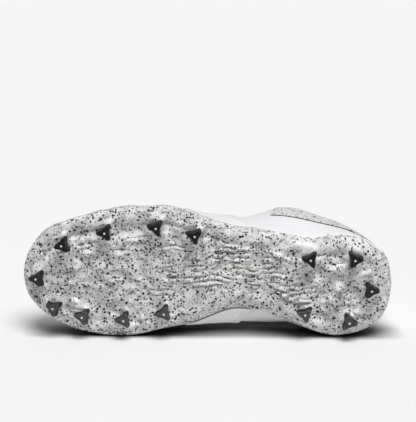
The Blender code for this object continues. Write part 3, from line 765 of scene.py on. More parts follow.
def new_material(name, **sockets):
    """A Principled material, its tree, its shader and its object coordinates."""
    material = bpy.data.materials.new(name)
    material.use_nodes = True
    tree = material.node_tree
    shader = tree.nodes["Principled BSDF"]
    for label, value in sockets.items():
        shader.inputs[label.replace("_", " ")].default_value = value
    spots = add_node(tree, "ShaderNodeTexCoord").outputs["Object"]
    return material, tree, shader, spots


def use_group(tree, group, **inputs):
    """Places a node group with its own values and gives its outputs."""
    return add_node(tree, "ShaderNodeGroup", inputs, node_tree=group).outputs


def add_bump(tree, shader, height, depth_mm, strength):
    """Raises the surface in the shading by a height of some millimetres."""
    inputs = {"Height": height, "Distance": depth_mm * MM, "Strength": strength}
    bump = add_node(tree, "ShaderNodeBump", inputs)
    tree.links.new(bump.outputs[0], shader.inputs["Normal"])


def tone_range(tree, value, low, high):
    """Spreads the middle part of a noise over a range of numbers."""
    return map_range(tree, value, TONE_LOW, TONE_HIGH, low, high)


# %% [markdown]
# The plate is pale plastic with black flakes of one to two millimetres, and finer ones between them. How
# thickly they lie is stored on the plate's own corners, because the flanks of the studs show almost none.

# %% Speckled plastic
PLASTIC, PLASTIC_SHADE, PLASTIC_BARE_AND_HIGHLIGHT = grey(0.88), grey(0.45), grey(0.90)
PLASTIC_WARM = (0.60, 0.53, 0.44, 1.0)
BAND_PLASTIC, BAND_SHADE = grey(0.72), grey(0.64)
FLAKE, FINE_FLAKE = cool_grey(0.012, 0.013), grey(0.035)
FINE_SIZE, FINE_SHARE = 0.5, 0.55
PLASTIC_ROUGH = (0.40, 0.56)
RIPPLE_DEPTH, RIPPLE_STRENGTH = 0.22, 0.55


def speckled_plastic(name, light, dark, flake_mm, share, stored):
    """Pale plastic with flakes; stored says whether the piece carries its own thickness of flakes."""
    finish = {"Specular_IOR_Level": 0.3, "Coat_Weight": 0.05, "Coat_Roughness": 0.3}
    material, tree, shader, spots = new_material(name, **finish)
    cloud = noise(tree, spots, scale=110.0, detail=4.0)[0]
    base = blend_colours(tree, tone_range(tree, cloud, 0.0, 1.0), light, dark)
    amount = share
    fine_amount = share * FINE_SHARE
    if stored:
        carried = stored_number(tree, "flakes")
        # A low stored number turns the colour to the pale tone: plain plastic on the stud feet and the rim
        # lip, partly a painted highlight on the spots of the table.
        base = blend_colours(tree, carried, PLASTIC_BARE_AND_HIGHLIGHT, base)
        base = blend_colours(tree, stored_number(tree, "warmth"), base, PLASTIC_WARM)
        amount = calculate(tree, "MULTIPLY", carried, amount)
        fine_amount = calculate(tree, "MULTIPLY", carried, fine_amount)
    fine = use_group(tree, SPECKS, Vector=spots, Size=flake_mm * FINE_SIZE, Share=fine_amount)["Mask"]
    large = use_group(tree, SPECKS, Vector=spots, Size=flake_mm, Share=amount)["Mask"]
    colour = blend_colours(tree, fine, base, FINE_FLAKE)
    colour = blend_colours(tree, large, colour, FLAKE)
    tree.links.new(colour, shader.inputs["Base Color"])
    tree.links.new(tone_range(tree, cloud, *PLASTIC_ROUGH), shader.inputs["Roughness"])
    ripple = noise(tree, spots, scale=420.0, detail=3.0)[0]
    add_bump(tree, shader, ripple, RIPPLE_DEPTH, RIPPLE_STRENGTH)
    return material


plate_plastic = speckled_plastic("speckled_plate", PLASTIC, PLASTIC_SHADE,
                                 flake_mm=2.5, share=0.78, stored=True)
band_plastic = speckled_plastic("speckled_band", BAND_PLASTIC, BAND_SHADE,
                                flake_mm=1.9, share=0.45, stored=False)
print("made", plate_plastic.name, band_plastic.name)

# %% [markdown]
# The tips of the studs are hard black plastic. Some of their ends have been scuffed grey, by as much as a
# number stored on each tip says, and a small pip in the middle of each carries a painted highlight, a pale
# dot.

# %% Black studs and the painted highlight on their pips
BLACK_TONES = (grey(0.008), grey(0.016))
WORN_TONES = (grey(0.075), grey(0.115))
# Tones of the painted highlight on the pip in the middle of each stud.
PAINTED_HIGHLIGHT_TONES = (grey(0.80), grey(0.62))
STUD_ROUGH = (0.36, 0.52)
SCUFF_DEPTH, SCUFF_STRENGTH = 0.10, 0.4


def stud_plastic():
    """Hard black plastic, greyer where it has been scuffed."""
    material, tree, shader, spots = new_material("stud_black", Specular_IOR_Level=0.2)
    cloud = noise(tree, spots, scale=260.0, detail=5.0)[0]
    uneven = tone_range(tree, cloud, 0.0, 1.0)
    black = blend_colours(tree, uneven, *BLACK_TONES)
    worn = blend_colours(tree, uneven, *WORN_TONES)
    colour = blend_colours(tree, stored_number(tree, "scuffed"), black, worn)
    tree.links.new(colour, shader.inputs["Base Color"])
    tree.links.new(tone_range(tree, cloud, *STUD_ROUGH), shader.inputs["Roughness"])
    add_bump(tree, shader, cloud, SCUFF_DEPTH, SCUFF_STRENGTH)
    return material


def painted_highlight_plastic():
    """A painted highlight: the pale dot on the small pip in the middle of a stud's end."""
    material, tree, shader, spots = new_material("stud_mark", Roughness=0.4)
    cloud = noise(tree, spots, scale=900.0, detail=2.0)[0]
    tree.links.new(blend_colours(tree, cloud, *PAINTED_HIGHLIGHT_TONES), shader.inputs["Base Color"])
    return material


stud_black = stud_plastic()
stud_mark = painted_highlight_plastic()
print("made", stud_black.name, stud_mark.name)

# %% [markdown]
# The leather is plain white with a fine grain. The panels are a touch smoother than the vamp, and the inside
# is lined with woven cloth.

# %% Leather, cloth and thread
GRAIN_STRENGTH, WEAVE_STRENGTH = 0.55, 0.7


def leather(name, light, dark, grain_mm, depth_mm, rough):
    """White leather with pebbled grain and a slow change of tone and roughness."""
    material, tree, shader, spots = new_material(name, Coat_Weight=0.06, Coat_Roughness=0.35)
    grain = use_group(tree, GRAIN, Vector=spots, Size=grain_mm)
    tone = tone_range(tree, grain["Tone"], 0.0, 1.0)
    tree.links.new(blend_colours(tree, tone, light, dark), shader.inputs["Base Color"])
    tree.links.new(tone_range(tree, grain["Tone"], *rough), shader.inputs["Roughness"])
    add_bump(tree, shader, grain["Height"], depth_mm, GRAIN_STRENGTH)
    return material


def cloth(name, light, dark, thread_mm, depth_mm):
    """Woven cloth with a soft sheen."""
    finish = {"Roughness": 0.85, "Sheen_Weight": 0.25, "Sheen_Roughness": 0.5}
    material, tree, shader, spots = new_material(name, **finish)
    height = use_group(tree, WEAVE, Vector=spots, Size=thread_mm)["Height"]
    tree.links.new(blend_colours(tree, height, dark, light), shader.inputs["Base Color"])
    add_bump(tree, shader, height, depth_mm, WEAVE_STRENGTH)
    return material


upper_leather = leather("white_leather", cool_grey(0.82, 0.835), cool_grey(0.78, 0.80),
                        grain_mm=0.9, depth_mm=0.10, rough=(0.40, 0.52))
panel_leather = leather("panel_leather", cool_grey(0.83, 0.84), cool_grey(0.795, 0.81),
                        grain_mm=0.7, depth_mm=0.08, rough=(0.36, 0.46))
tongue_leather = leather("tongue_leather", cool_grey(0.80, 0.81), cool_grey(0.74, 0.76),
                         grain_mm=0.8, depth_mm=0.10, rough=(0.45, 0.58))
lining_cloth = cloth("lining_cloth", cool_grey(0.74, 0.75), cool_grey(0.58, 0.60),
                     thread_mm=0.8, depth_mm=0.15)
liner_cloth = cloth("sock_liner_cloth", (0.60, 0.61, 0.63, 1.0), (0.42, 0.43, 0.45, 1.0),
                    thread_mm=1.0, depth_mm=0.2)
lace_cloth = cloth("lace_weave", grey(0.88), cool_grey(0.70, 0.71), thread_mm=0.7, depth_mm=0.18)
thread = cloth("sewing_thread", cool_grey(0.66, 0.67), cool_grey(0.50, 0.52), thread_mm=0.3, depth_mm=0.05)
print("materials:", len(bpy.data.materials))

# %% [markdown]
# ## Sole plate
# The moulded plate carries the studs. Its underside is a fine net of rings between the middle line and the
# edge, so that the low relief of the mould can be raised on it, form by form, in the shoe's own sizes.

# %% Rings of the plate
STUDS = table("number along across turn", [
    (1, 268.6, 23.8, 16),
    (2, 234.2, 36.2, 3),
    (3, 193.4, 41.8, -8),
    (4, 162.1, 36.2, -18),
    (5, 289.0, -5.5, 2),
    (6, 274.5, -28.6, -24),
    (7, 250.4, -33.9, -7),
    (8, 216.9, -35.1, 7),
    (9, 184.5, -28.3, 12),
    (10, 68.7, 20.9, -3),
    (11, 33.1, 22.3, 186),
    (12, 18.2, -2.5, 180),
    (13, 70.7, -24.4, -13),
    (14, 34.7, -29.5, 173),
])
PLATE_COLUMNS = 760
PLATE_RINGS = 50
EDGE_RINGS = 9
EDGE_ROUND, EDGE_ROUND_MORE, STUD_CLEAR = 8.0, 5.0, 16.0
RIM_OUTSIDE = ((0.5, RIM_FOOT), (0.8, RIM_TOP + 1.0), (0.93, RIM_TOP + 0.5), (1.0, RIM_TOP))
RIM_INSIDE = (1.0, 0.67, 0.33)
TOP_SHARES = (0.65, 0.3, 0)


def spine(place):
    """Middle line of the plate, ending in a fan at the toe and at the heel."""
    station = np.clip(station_of(place), TOE_FAN, HEEL_FAN)
    return (outline(station)[0] + outline(LOOP - station)[0]) / 2


def edge_rounding(plan):
    """How far in the plate's edge is rounded: little beside a stud, more between two studs."""
    studs = np.stack([STUDS["along"], STUDS["across"]], axis=-1)
    nearest = np.linalg.norm(plan[:, None, :] - studs[None, :, :], axis=-1).min(axis=1)
    return EDGE_ROUND + EDGE_ROUND_MORE * np.clip((nearest - STUD_CLEAR) / STUD_CLEAR, 0, 1)


def plate_rings(places):
    """Rings of points from the middle of the underside, round the rim, to the middle of the top."""
    plan, outward = outline(places)
    base, _ = base_edge(places)
    middle = spine(places)
    rounding = edge_rounding(plan)[:, None]
    bottom = sole_height("bottom", plan[:, 0])
    floor_height = sole_height("floor", base[:, 0])
    rim = sole_height("rim", plan[:, 0])
    level = join_height(outward, 0.0)
    rings = []
    for share in np.linspace(0, 1, PLATE_RINGS):
        ring = middle + (plan - outward * rounding - middle) * share
        rings.append(join_height(ring, sole_height("bottom", ring[:, 0])))
    for angle in np.linspace(0, math.pi / 2, EDGE_RINGS + 1)[1:]:
        ring = plan - outward * rounding * (1 - math.sin(angle))
        rings.append(join_height(ring, bottom + (floor_height - bottom) * (1 - math.cos(angle))))
    for share, thick in RIM_OUTSIDE:
        climb = climb_at(places, rim * share)
        rings.append(upper_point(places, climb) + upper_normal(places, climb) * RIM_GAP + level * thick)
    for share in RIM_INSIDE:
        climb = climb_at(places, rim * share)
        rings.append(upper_point(places, climb) + upper_normal(places, climb) * RIM_GAP)
    foot = base[:, :2] + outward * GAP
    rings.append(join_height(foot, floor_height))
    for share in TOP_SHARES:
        ring = middle + (foot - middle) * share
        rings.append(join_height(ring, sole_height("floor", ring[:, 0])))
    return np.array(rings)


plate_places = np.linspace(0, LOOP, PLATE_COLUMNS + 1)
plate_points = plate_rings(plate_places)
print("plate net:", plate_points.shape)

# %% [markdown]
# The relief of the mould is soft mounds and hollows, sharp furrows, and long wavy ridges under the arch. The
# forms that catch the eye are placed row by row, where a turn of 0 lays a form's length along the shoe.
# Random hills of a few sizes and a wave fill in what lies between them.

# %% Relief of the mould
FORM_COLUMNS = "along across half_long half_wide turn height"
RELIEF = table(FORM_COLUMNS, [
    (175.8, 43.0, 6.0, 4.4, 10, 2.3),
    (248.0, 17.2, 5.0, 2.6, -12, 1.3),
    (248.6, 20.9, 5.2, 0.9, -14, -1.1),
    (222.0, 17.6, 5.0, 2.6, -4, 1.3),
    (222.4, 21.0, 5.4, 0.9, -6, -1.1),
    (243.0, 13.2, 4.0, 3.0, 0, -0.8),
    (219.8, 12.8, 4.0, 3.0, 0, -0.8),
    (270.5, 1.6, 11.0, 2.2, -6, 0.9),
    (270.0, -2.4, 10.0, 1.3, -6, -0.7),
    (278.6, -9.7, 4.0, 2.4, 0, -0.8),
    (267.0, -10.6, 4.0, 2.0, -20, -0.8),
    (231.6, -10.0, 4.6, 1.3, 80, 0.9),
    (224.8, -10.0, 4.6, 1.3, 100, 0.9),
    (228.2, -5.2, 2.8, 1.3, 0, 0.9),
    (228.2, -10.4, 3.4, 1.6, 90, -0.7),
    (250.8, -18.6, 6.0, 1.9, 84, 0.7),
    (236.0, 2.0, 8.0, 5.0, 20, 0.6),
    (258.0, -24.0, 6.0, 3.4, -10, 0.5),
    (204.0, -8.8, 3.6, 1.2, 80, 0.7),
    (198.4, -8.8, 3.6, 1.2, 100, 0.7),
    (201.1, -5.0, 2.4, 1.2, 0, 0.7),
    (172.6, -13.7, 3.4, 2.6, 0, -0.9),
    (194.6, 19.2, 8.0, 1.1, 50, -0.9),
    (190.0, 22.0, 7.0, 1.5, 52, 0.7),
    (186.0, 19.0, 7.0, 1.0, 56, -0.7),
    (208.3, 31.4, 17.0, 1.1, -12, -1.0),
    (249.2, 24.6, 9.0, 1.1, -15, -0.9),
    (254.5, 32.6, 7.5, 4.4, -10, -1.5),
    (214.0, 38.4, 14.0, 3.8, -8, -1.7),
    (214.0, 34.6, 13.0, 3.4, -8, -0.9),
    (185.2, 40.5, 3.6, 5.0, 0, -1.2),
    (150.5, 40.0, 4.4, 4.0, 20, -1.3),
    (261.3, -39.6, 5.0, 2.2, 24, -0.9),
    (257.0, -29.9, 5.0, 1.1, 0, -0.8),
    (205.0, -38.4, 3.2, 1.5, -12, -0.9),
    (197.0, -37.0, 3.2, 1.5, -16, -0.9),
    (83.0, -17.1, 7.0, 1.2, 13, -1.4),
    (72.0, -17.6, 6.4, 1.2, -11, -1.4),
    (76.0, -14.0, 10.0, 2.4, 2, 0.7),
    (43.8, -2.1, 4.6, 4.4, 0, 1.4),
    (43.8, 3.4, 4.8, 1.2, 0, -0.9),
    (21.0, 16.2, 6.0, 4.6, -20, -1.5),
    (25.0, 9.0, 7.0, 1.6, -24, 0.9),
    (29.0, -25.0, 5.4, 1.1, 32, -1.2),
    (20.6, -26.6, 5.6, 1.1, -16, -1.2),
    (26.0, -22.4, 7.0, 1.8, 4, 0.7),
    (58.0, -7.8, 2.4, 2.2, 0, -1.1),
    (43.4, -11.0, 2.6, 2.2, 0, -1.1),
    (50.0, 20.0, 7.0, 1.6, 6, 0.8),
    (50.0, 16.0, 7.0, 1.2, -4, -0.9),
    (50.0, 12.6, 6.0, 1.5, 8, 0.8),
    (72.3, 30.6, 11.0, 2.6, 8, 0.8),
    (56.0, -28.0, 7.0, 3.6, 8, -0.9),
    (94.0, 21.0, 12.0, 1.4, 18, 0.9),
    (92.0, 17.6, 12.0, 1.1, 20, -0.9),
])
FORM_GAIN, FORM_FLATNESS = 1.9, 1.4
NOISE_CELLS, NOISE_SHIFT = 160, 7.3


def ease(share):
    """Softens both ends of a share from 0 to 1."""
    return share ** 2 * (3 - 2 * share)


def bell(values, middle, half_wide):
    """A soft hump of height 1."""
    return np.exp(-((values - middle) / half_wide) ** 2)


def window(values, low, high, soft):
    """A soft 0 to 1 mask between two limits."""
    enter = np.clip((values - low) / soft + 0.5, 0, 1)
    leave = np.clip((high - values) / soft + 0.5, 0, 1)
    return ease(enter) * ease(leave)


def hills(along, across, size, seed):
    """Soft random hills of one size between -1 and 1, the same in every run."""
    heights = np.random.default_rng(seed).uniform(-1, 1, (NOISE_CELLS, NOISE_CELLS))
    x = along / size + NOISE_SHIFT
    y = across / size + NOISE_CELLS / 2
    column, row = np.floor(x).astype(int), np.floor(y).astype(int)
    right, top = ease(x - column), ease(y - row)

    def corner(step_x, step_y):
        return heights[(row + step_y) % NOISE_CELLS, (column + step_x) % NOISE_CELLS]

    low = corner(0, 0) * (1 - right) + corner(1, 0) * right
    high = corner(0, 1) * (1 - right) + corner(1, 1) * right
    return low * (1 - top) + high * top


def turn_plan(along, across, angle):
    """Distances along and across a direction in the plan."""
    lengthwise = along * math.cos(angle) + across * math.sin(angle)
    crosswise = across * math.cos(angle) - along * math.sin(angle)
    return lengthwise, crosswise


def placed_forms(along, across, rows):
    """Adds up mounds and hollows that a table places one by one."""
    total = np.zeros_like(along)
    for centre_u, centre_v, half_long, half_wide, turn, height in zip(*rows.values()):
        lengthwise, crosswise = turn_plan(along - centre_u, across - centre_v, math.radians(turn))
        away_share = (lengthwise / half_long) ** 2 + (crosswise / half_wide) ** 2
        total += height * np.exp(-away_share ** FORM_FLATNESS)
    return total


print("placed forms:", len(RELIEF["height"]))

# %% [markdown]
# Each stud stands in a soft skirt. From most of them a fin runs on over the plate, which stiffens the foot of
# the stud; the studs that are turned round at the heel have theirs on the other side.

# %% Skirts and fins of the studs
SKIRT_HEIGHT, SKIRT_RADIUS, SKIRT_SOFT = 1.0, 7.0, 2.4
FIN_HEIGHT = {
    1: 3.6, 2: 3.4, 3: 3.6, 4: 3.6, 5: 3.2, 7: 1.6, 8: 1.4,
    9: 1.4, 10: 2.6, 11: 1.8, 12: 1.6, 13: 1.4, 14: 2.4,
}
FIN_TURN, OTHER_FIN_TURN, TURNED_STUDS = 118, -60, (11, 12, 14)
FIN_START, FIN_END, FIN_FALL, FIN_HALF_WIDE = (3.0, 40.0, 4.0), 17.0, 11.0, 2.0


def stud_forms(along, across):
    """A soft skirt round every stud, and the fin that runs from one of its lobes."""
    total = np.zeros_like(along)
    for number, stud_along, stud_across, turn in zip(*STUDS.values()):
        ahead, aside = turn_plan(along - stud_along, across - stud_across, -math.radians(turn))
        distance = np.hypot(ahead, aside)
        total += SKIRT_HEIGHT * bell(np.maximum(distance - SKIRT_RADIUS, 0), 0.0, SKIRT_SOFT)
        fin_turn = OTHER_FIN_TURN if number in TURNED_STUDS else FIN_TURN
        lengthwise, crosswise = turn_plan(ahead, aside, math.radians(fin_turn))
        fall = np.clip((FIN_END - lengthwise) / FIN_FALL, 0, 1) * window(lengthwise, *FIN_START)
        total += FIN_HEIGHT.get(number, 0.0) * fall * bell(crosswise, 0.0, FIN_HALF_WIDE)
    return total


print("fins:", len(FIN_HEIGHT))

# %% [markdown]
# All forms are added up as one height over the plan. A flat band follows the edge with a furrow inside it,
# the middle is craggy, the arch carries its ridges, and the inner flank of the waist stays calm.

# %% Add up the relief
# Each layer has a height and a size in millimetres, and the seed of its random draw.
LAYERS = {
    "crags": (1.10, 11.0, 3),
    "small_crags": (0.95, 5.2, 4),
    "fine": (0.45, 3.0, 12),
    "clefts": (1.0, 6.4, 5),
    "sway": (2.2, 15.0, 6),
    "small_sway": (2.0, 6.0, 8),
    "links": (0.9, 6.5, 9),
    "edge_lumps": (0.8, 9.0, 14),
}
# A window has a lower limit, an upper limit and the width of its soft edges, in millimetres.
INNER_START, INNER_SOFT = 9.0, 6.0
BAND_HEIGHT, BAND_WIDTH, BAND_SOFT = 0.9, 8.5, 3.0
FURROW_DEPTH, FURROW_OUTER, FURROW_PLACE, FURROW_HALF_WIDE = 0.5, 1.9, 12.4, 1.6
HEEL_LINE_DEPTH, HEEL_LINE_PLACE, HEEL_LINE_HALF_WIDE = 0.6, 5.0, 0.8
HEEL_LINE_ALONG = (-20.0, 46.0, 20.0)
OUTER_ALONG, OUTER_ACROSS = (120.0, 320.0, 40.0), (4.0, 99.0, 18.0)
WAIST_ALONG, WAIST_ACROSS, WAIST_CALM = (90.0, 180.0, 20.0), (-60.0, -8.0, 6.0), 0.85
CRAGGY_ALONG, CRAGGY_ACROSS, CRAGGY_GAIN = (36.0, 66.0, 12.0), (4.0, 27.0, 8.0), 0.9
CLEFT_HEIGHT = 0.95
ARCH_ALONG, ARCH_MIDDLE, ARCH_SOFT, ARCH_CALM = (68.0, 196.0, 40.0), 132.0, 9.0, 0.35
ARCH_INNER, ARCH_INNER_CURVE = -8.0, 0.004
ARCH_OUTER, ARCH_OUTER_CURVE, ARCH_OUTER_START = 28.0, 0.0045, 140.0
RIDGE_HEIGHT, RIDGE_PERIOD, RIDGE_SLANT, RIDGE_CREST, RIDGE_ROUND = 1.75, 4.5, 0.08, 1.9, 0.8
RIDGE_FINE, LINK_MIDDLE, LINK_MOST = 1.3, 0.55, 1.3
EDGE_POINTS, BATCH = 480, 4000


def edge_distance(along, across):
    """Distance of points of the plan from the plate's edge."""
    edge = outline(np.linspace(0, LOOP, EDGE_POINTS))[0]
    found = np.empty(len(along))
    for start in range(0, len(along), BATCH):
        part = slice(start, start + BATCH)
        gaps = np.stack([along[part], across[part]], axis=-1)[:, None, :] - edge[None, :, :]
        found[part] = np.sqrt((gaps ** 2).sum(axis=-1).min(axis=1))
    return found


def layer(name, along, across):
    """One named layer of random hills, from its height and size in millimetres and its seed."""
    height, size, seed = LAYERS[name]
    return height * hills(along, across, size, seed)


def arch_mask(along, across):
    """A 0 to 1 mask of the part under the arch that carries the wavy ridges."""
    inner_limit = ARCH_INNER - ARCH_INNER_CURVE * (along - ARCH_MIDDLE) ** 2
    outer_limit = ARCH_OUTER - ARCH_OUTER_CURVE * np.maximum(ARCH_OUTER_START - along, 0) ** 2
    return window(along, *ARCH_ALONG) * window(across, inner_limit, outer_limit, ARCH_SOFT)


def arch_ridges(along, across):
    """Long wavy ridges along the shoe, higher and lower by turns."""
    sway = layer("sway", along, across) + layer("small_sway", along, across)
    phase = (across + RIDGE_SLANT * along + sway) * math.pi / RIDGE_PERIOD
    ridges = RIDGE_CREST * np.abs(np.sin(phase)) ** RIDGE_ROUND - 1
    links = np.clip(LINK_MIDDLE + layer("links", along, across), 0, LINK_MOST)
    return RIDGE_HEIGHT * ridges * links


def relief(along, across, from_edge):
    """How far the mould stands out at points of the plan, in millimetres."""
    inner = np.clip((from_edge - INNER_START) / INNER_SOFT, 0, 1)
    outer_side = window(across, *OUTER_ACROSS) * window(along, *OUTER_ALONG)
    waist_flank = window(along, *WAIST_ALONG) * window(across, *WAIST_ACROSS)
    craggy_heel = window(along, *CRAGGY_ALONG) * window(across, *CRAGGY_ACROSS)
    arch = arch_mask(along, across)
    calm = 1 - WAIST_CALM * waist_flank
    band = BAND_HEIGHT * (1 - np.clip((from_edge - BAND_WIDTH) / BAND_SOFT, 0, 1))
    furrow = (FURROW_DEPTH + FURROW_OUTER * outer_side) * bell(from_edge, FURROW_PLACE, FURROW_HALF_WIDE)
    heel_line = bell(from_edge, HEEL_LINE_PLACE, HEEL_LINE_HALF_WIDE) * window(along, *HEEL_LINE_ALONG)
    crags = layer("crags", along, across) + layer("small_crags", along, across)
    clefts = CLEFT_HEIGHT * (1 - 2 * np.abs(layer("clefts", along, across)))
    fine = layer("fine", along, across)
    rocky = (crags + clefts + fine) * (1 - ARCH_CALM * arch) * calm * (1 + CRAGGY_GAIN * craggy_heel)
    wavy = (arch_ridges(along, across) + RIDGE_FINE * fine) * arch
    placed = FORM_GAIN * placed_forms(along, across, RELIEF)
    return band - furrow * calm - HEEL_LINE_DEPTH * heel_line + inner * (rocky + wavy) + placed


print("random layers:", len(LAYERS))

# %% [markdown]
# The height lifts each point of the underside along its own outward direction. It fades out round the edge,
# so that the rim stays smooth, and only the outer side keeps a few soft lumps there.

# %% Raise the relief
NO_LENGTH = 1e-6
DOWNWARD, STEEPEST_UPWARD = np.array([0.0, 0.0, -1.0]), 0.2
FADE_POWER = 0.6
LUMPY_ACROSS = (14.0, 99.0, 12.0)


def raise_relief(points):
    """Moves the underside of the net out along its own directions by the relief."""
    low = points[:PLATE_RINGS + EDGE_RINGS + 1]
    shape = low.shape[:2]
    ways = np.cross(np.gradient(low, axis=1), np.gradient(low, axis=0))
    lengths = np.linalg.norm(ways, axis=-1, keepdims=True)
    ways = np.where(lengths > NO_LENGTH, ways / np.maximum(lengths, NO_LENGTH), DOWNWARD)
    ways = np.where(ways[..., 2:] > STEEPEST_UPWARD, -ways, ways)
    along, across = low[..., 0].ravel(), low[..., 1].ravel()
    height = relief(along, across, edge_distance(along, across)) + stud_forms(along, across)
    lumps = window(across, *LUMPY_ACROSS) * layer("edge_lumps", along, across)
    fade = np.ones((len(low), 1))
    fade[PLATE_RINGS:, 0] = np.cos(np.linspace(0, math.pi / 2, EDGE_RINGS + 1)) ** FADE_POWER
    height = height.reshape(shape) * fade + lumps.reshape(shape) * (1 - fade)
    raised = points.copy()
    raised[:len(low)] = low + ways * height[..., None]
    return raised


sole_plate = lasted_sheet("sole_plate", raise_relief(plate_points))
merge_corners(sole_plate)
turn_outwards(sole_plate)
print("plate corners:", len(sole_plate.data.vertices))

# %% [markdown]
# Every stud stands on a flared pale foot that is moulded in one with the plate. One foot is drawn as a disc
# with three corners, extruded and narrowed ring by ring, then copied to its fourteen places and fused with
# the plate.

# %% Stud feet
STUD_HEIGHT, STUD_BASE_HEIGHT, STUD_SINK = 12.0, 4.6, 1.9
STUD_TIP_RADIUS, STUD_FOOT_RADIUS, STUD_BASE_RADIUS, STUD_FLARE_RADIUS = 4.2, 5.3, 6.1, 10.5
STUD_CORNERS = (0.34, 0.08, 0.01)
STUD_SIDES = 60
SLOPE_STEP = 2.0


def stud_frame(row):
    """Root of a stud and its own axes: down, towards its first corner, and across."""
    along = STUDS["along"][row]
    climb = sole_height("bottom", along + SLOPE_STEP) - sole_height("bottom", along - SLOPE_STEP)
    down = unit(np.array([climb / (2 * SLOPE_STEP), 0.0, -1.0]))
    root_along = along - down[0] * STUD_HEIGHT
    root = np.array([root_along, STUDS["across"][row], sole_height("bottom", root_along)])
    turn = math.radians(STUDS["turn"][row])
    level = np.array([math.cos(turn), -math.sin(turn), 0.0])
    ahead = unit(level - down * np.dot(level, down))
    return root, down, ahead, np.cross(down, ahead)


def cornered_form(name, rings):
    """A three-cornered disc extruded through rings of depth, radius and sharpness, in millimetres."""
    start_fresh()
    bpy.ops.mesh.primitive_circle_add(vertices=STUD_SIDES, radius=1.0, fill_type="NGON")
    form = bpy.context.object
    form.name = name
    bpy.ops.object.mode_set(mode="EDIT")
    for _ in rings[1:]:
        bpy.ops.mesh.extrude_region_move(TRANSFORM_OT_translate={"value": (0, 0, 1.0)})
    bpy.ops.object.mode_set(mode="OBJECT")
    spots = places_of(form)
    step = np.rint(spots[:, 2]).astype(int)
    angle = np.arctan2(spots[:, 1], spots[:, 0])
    depth, radius, sharp = np.array(rings, float).T
    waves = sum(share * np.cos(3 * wave * angle) for wave, share in enumerate(STUD_CORNERS, start=1))
    reach = radius[step] * (1 + sharp[step] * waves)
    move_corners(form, np.stack([np.cos(angle) * reach, np.sin(angle) * reach, depth[step]], axis=-1))
    turn_outwards(form)
    return form


def place_on_stud(form, row):
    """Carries a form from the origin to a stud's place on the plate."""
    root, down, ahead, aside = stud_frame(row)
    spots = places_of(form)
    carried = root + spots[:, :1] * ahead + spots[:, 1:2] * aside + spots[:, 2:] * down
    move_corners(form, to_room(carried))


def copy_of(form, name):
    """A copy of a form with its own mesh."""
    return add_piece(name, form.data.copy())


FOOT_RINGS = [
    (-STUD_SINK, STUD_FLARE_RADIUS, 0.20),
    (0.5, 9.2, 0.36),
    (1.2, 8.1, 0.48),
    (STUD_BASE_HEIGHT * 0.4, STUD_BASE_RADIUS * 1.24, 0.60),
    (3.2, STUD_BASE_RADIUS * 1.10, 0.85),
    (STUD_BASE_HEIGHT - 0.4, STUD_BASE_RADIUS + 0.15, 1.0),
    (STUD_BASE_HEIGHT, STUD_BASE_RADIUS - 0.1, 1.0),
]
foot_form = cornered_form("stud_foot_form", FOOT_RINGS)
feet = []
for stud_row in range(len(STUDS["number"])):
    foot = copy_of(foot_form, "stud_foot")
    place_on_stud(foot, stud_row)
    turn_outwards(foot)
    feet.append(foot)
bpy.data.objects.remove(foot_form)
stud_feet = join_pieces(feet)
apply_modifier(sole_plate, "BOOLEAN", operation="UNION", solver="MANIFOLD", object=stud_feet)
bpy.data.objects.remove(stud_feet)
print("plate with feet, corners:", len(sole_plate.data.vertices))

# %% [markdown]
# Where the flakes lie thick or thin is stored on the plate itself. There are almost none on the feet of the
# studs and along the lip of the rim, and a few places hold clusters; where there are none the plastic is
# paler.
# Spots on some mounds and on the slopes of the hollows are left without flakes and painted paler: partly
# unspeckled plastic, partly a painted highlight where they face the lamp. A second number says where the
# plastic has a warmer tone.

# %% Store flakes, painted highlight and warmth
# Spots without flakes, painted paler: partly unspeckled plastic, partly a painted highlight on slopes that
# face the lamp.
BARE_AND_HIGHLIGHT_SPOTS = table(FORM_COLUMNS, [
    (215.5, 32.8, 11.0, 2.8, -8, 1.0),
    (211.3, 43.2, 9.0, 2.2, -8, 0.6),
    (245.0, 31.0, 4.0, 4.0, 0, 1.0),
    (260.1, 26.4, 4.0, 5.0, 0, 1.0),
    (284.4, 3.2, 4.4, 2.2, 60, 0.9),
    (184.3, 38.7, 3.4, 5.0, 0, 0.9),
    (166.0, 39.8, 4.0, 2.4, 0, 0.8),
    (45.0, -1.0, 4.6, 4.4, 0, 0.7),
    (37.0, -22.6, 4.0, 2.4, 0, 0.7),
    (72.9, -21.3, 5.0, 1.8, -6, 0.7),
    (175.8, 41.0, 4.0, 3.0, 0, 0.8),
    (72.3, 31.5, 14.0, 2.6, 8, 0.9),
    (248.0, 17.0, 4.6, 2.4, -12, 0.7),
    (222.0, 17.4, 4.6, 2.4, -4, 0.7),
    (25.0, 9.0, 8.0, 3.0, -24, 0.8),
])
DENSE_SPOTS = table(FORM_COLUMNS, [
    (192.4, 23.0, 7.0, 3.0, 50, 0.7),
    (198.0, 27.0, 7.0, 3.0, -10, 0.5),
    (228.8, 52.0, 10.0, 4.0, 0, 0.4),
    (117.4, 23.6, 9.0, 3.0, -8, 0.8),
    (154.8, 41.3, 6.0, 4.0, 0, 0.6),
    (145.5, 29.0, 7.0, 4.0, -10, 0.5),
    (17.4, 5.7, 5.0, 6.0, 0, 0.7),
    (58.0, -7.3, 3.6, 3.0, 0, 0.7),
    (41.1, -10.0, 4.0, 4.0, 0, 0.5),
    (59.4, 17.9, 6.0, 4.0, 0, 0.5),
])
WARM_SPOTS = table(FORM_COLUMNS, [
    (175.8, 45.0, 5.0, 2.4, 10, 0.55),
    (252.0, 35.0, 4.0, 2.0, -20, 0.40),
    (243.0, 37.0, 3.0, 2.0, 0, 0.35),
    (125.0, 8.0, 12.0, 4.0, 0, 0.22),
    (30.0, 8.0, 6.0, 3.0, 0, 0.25),
])
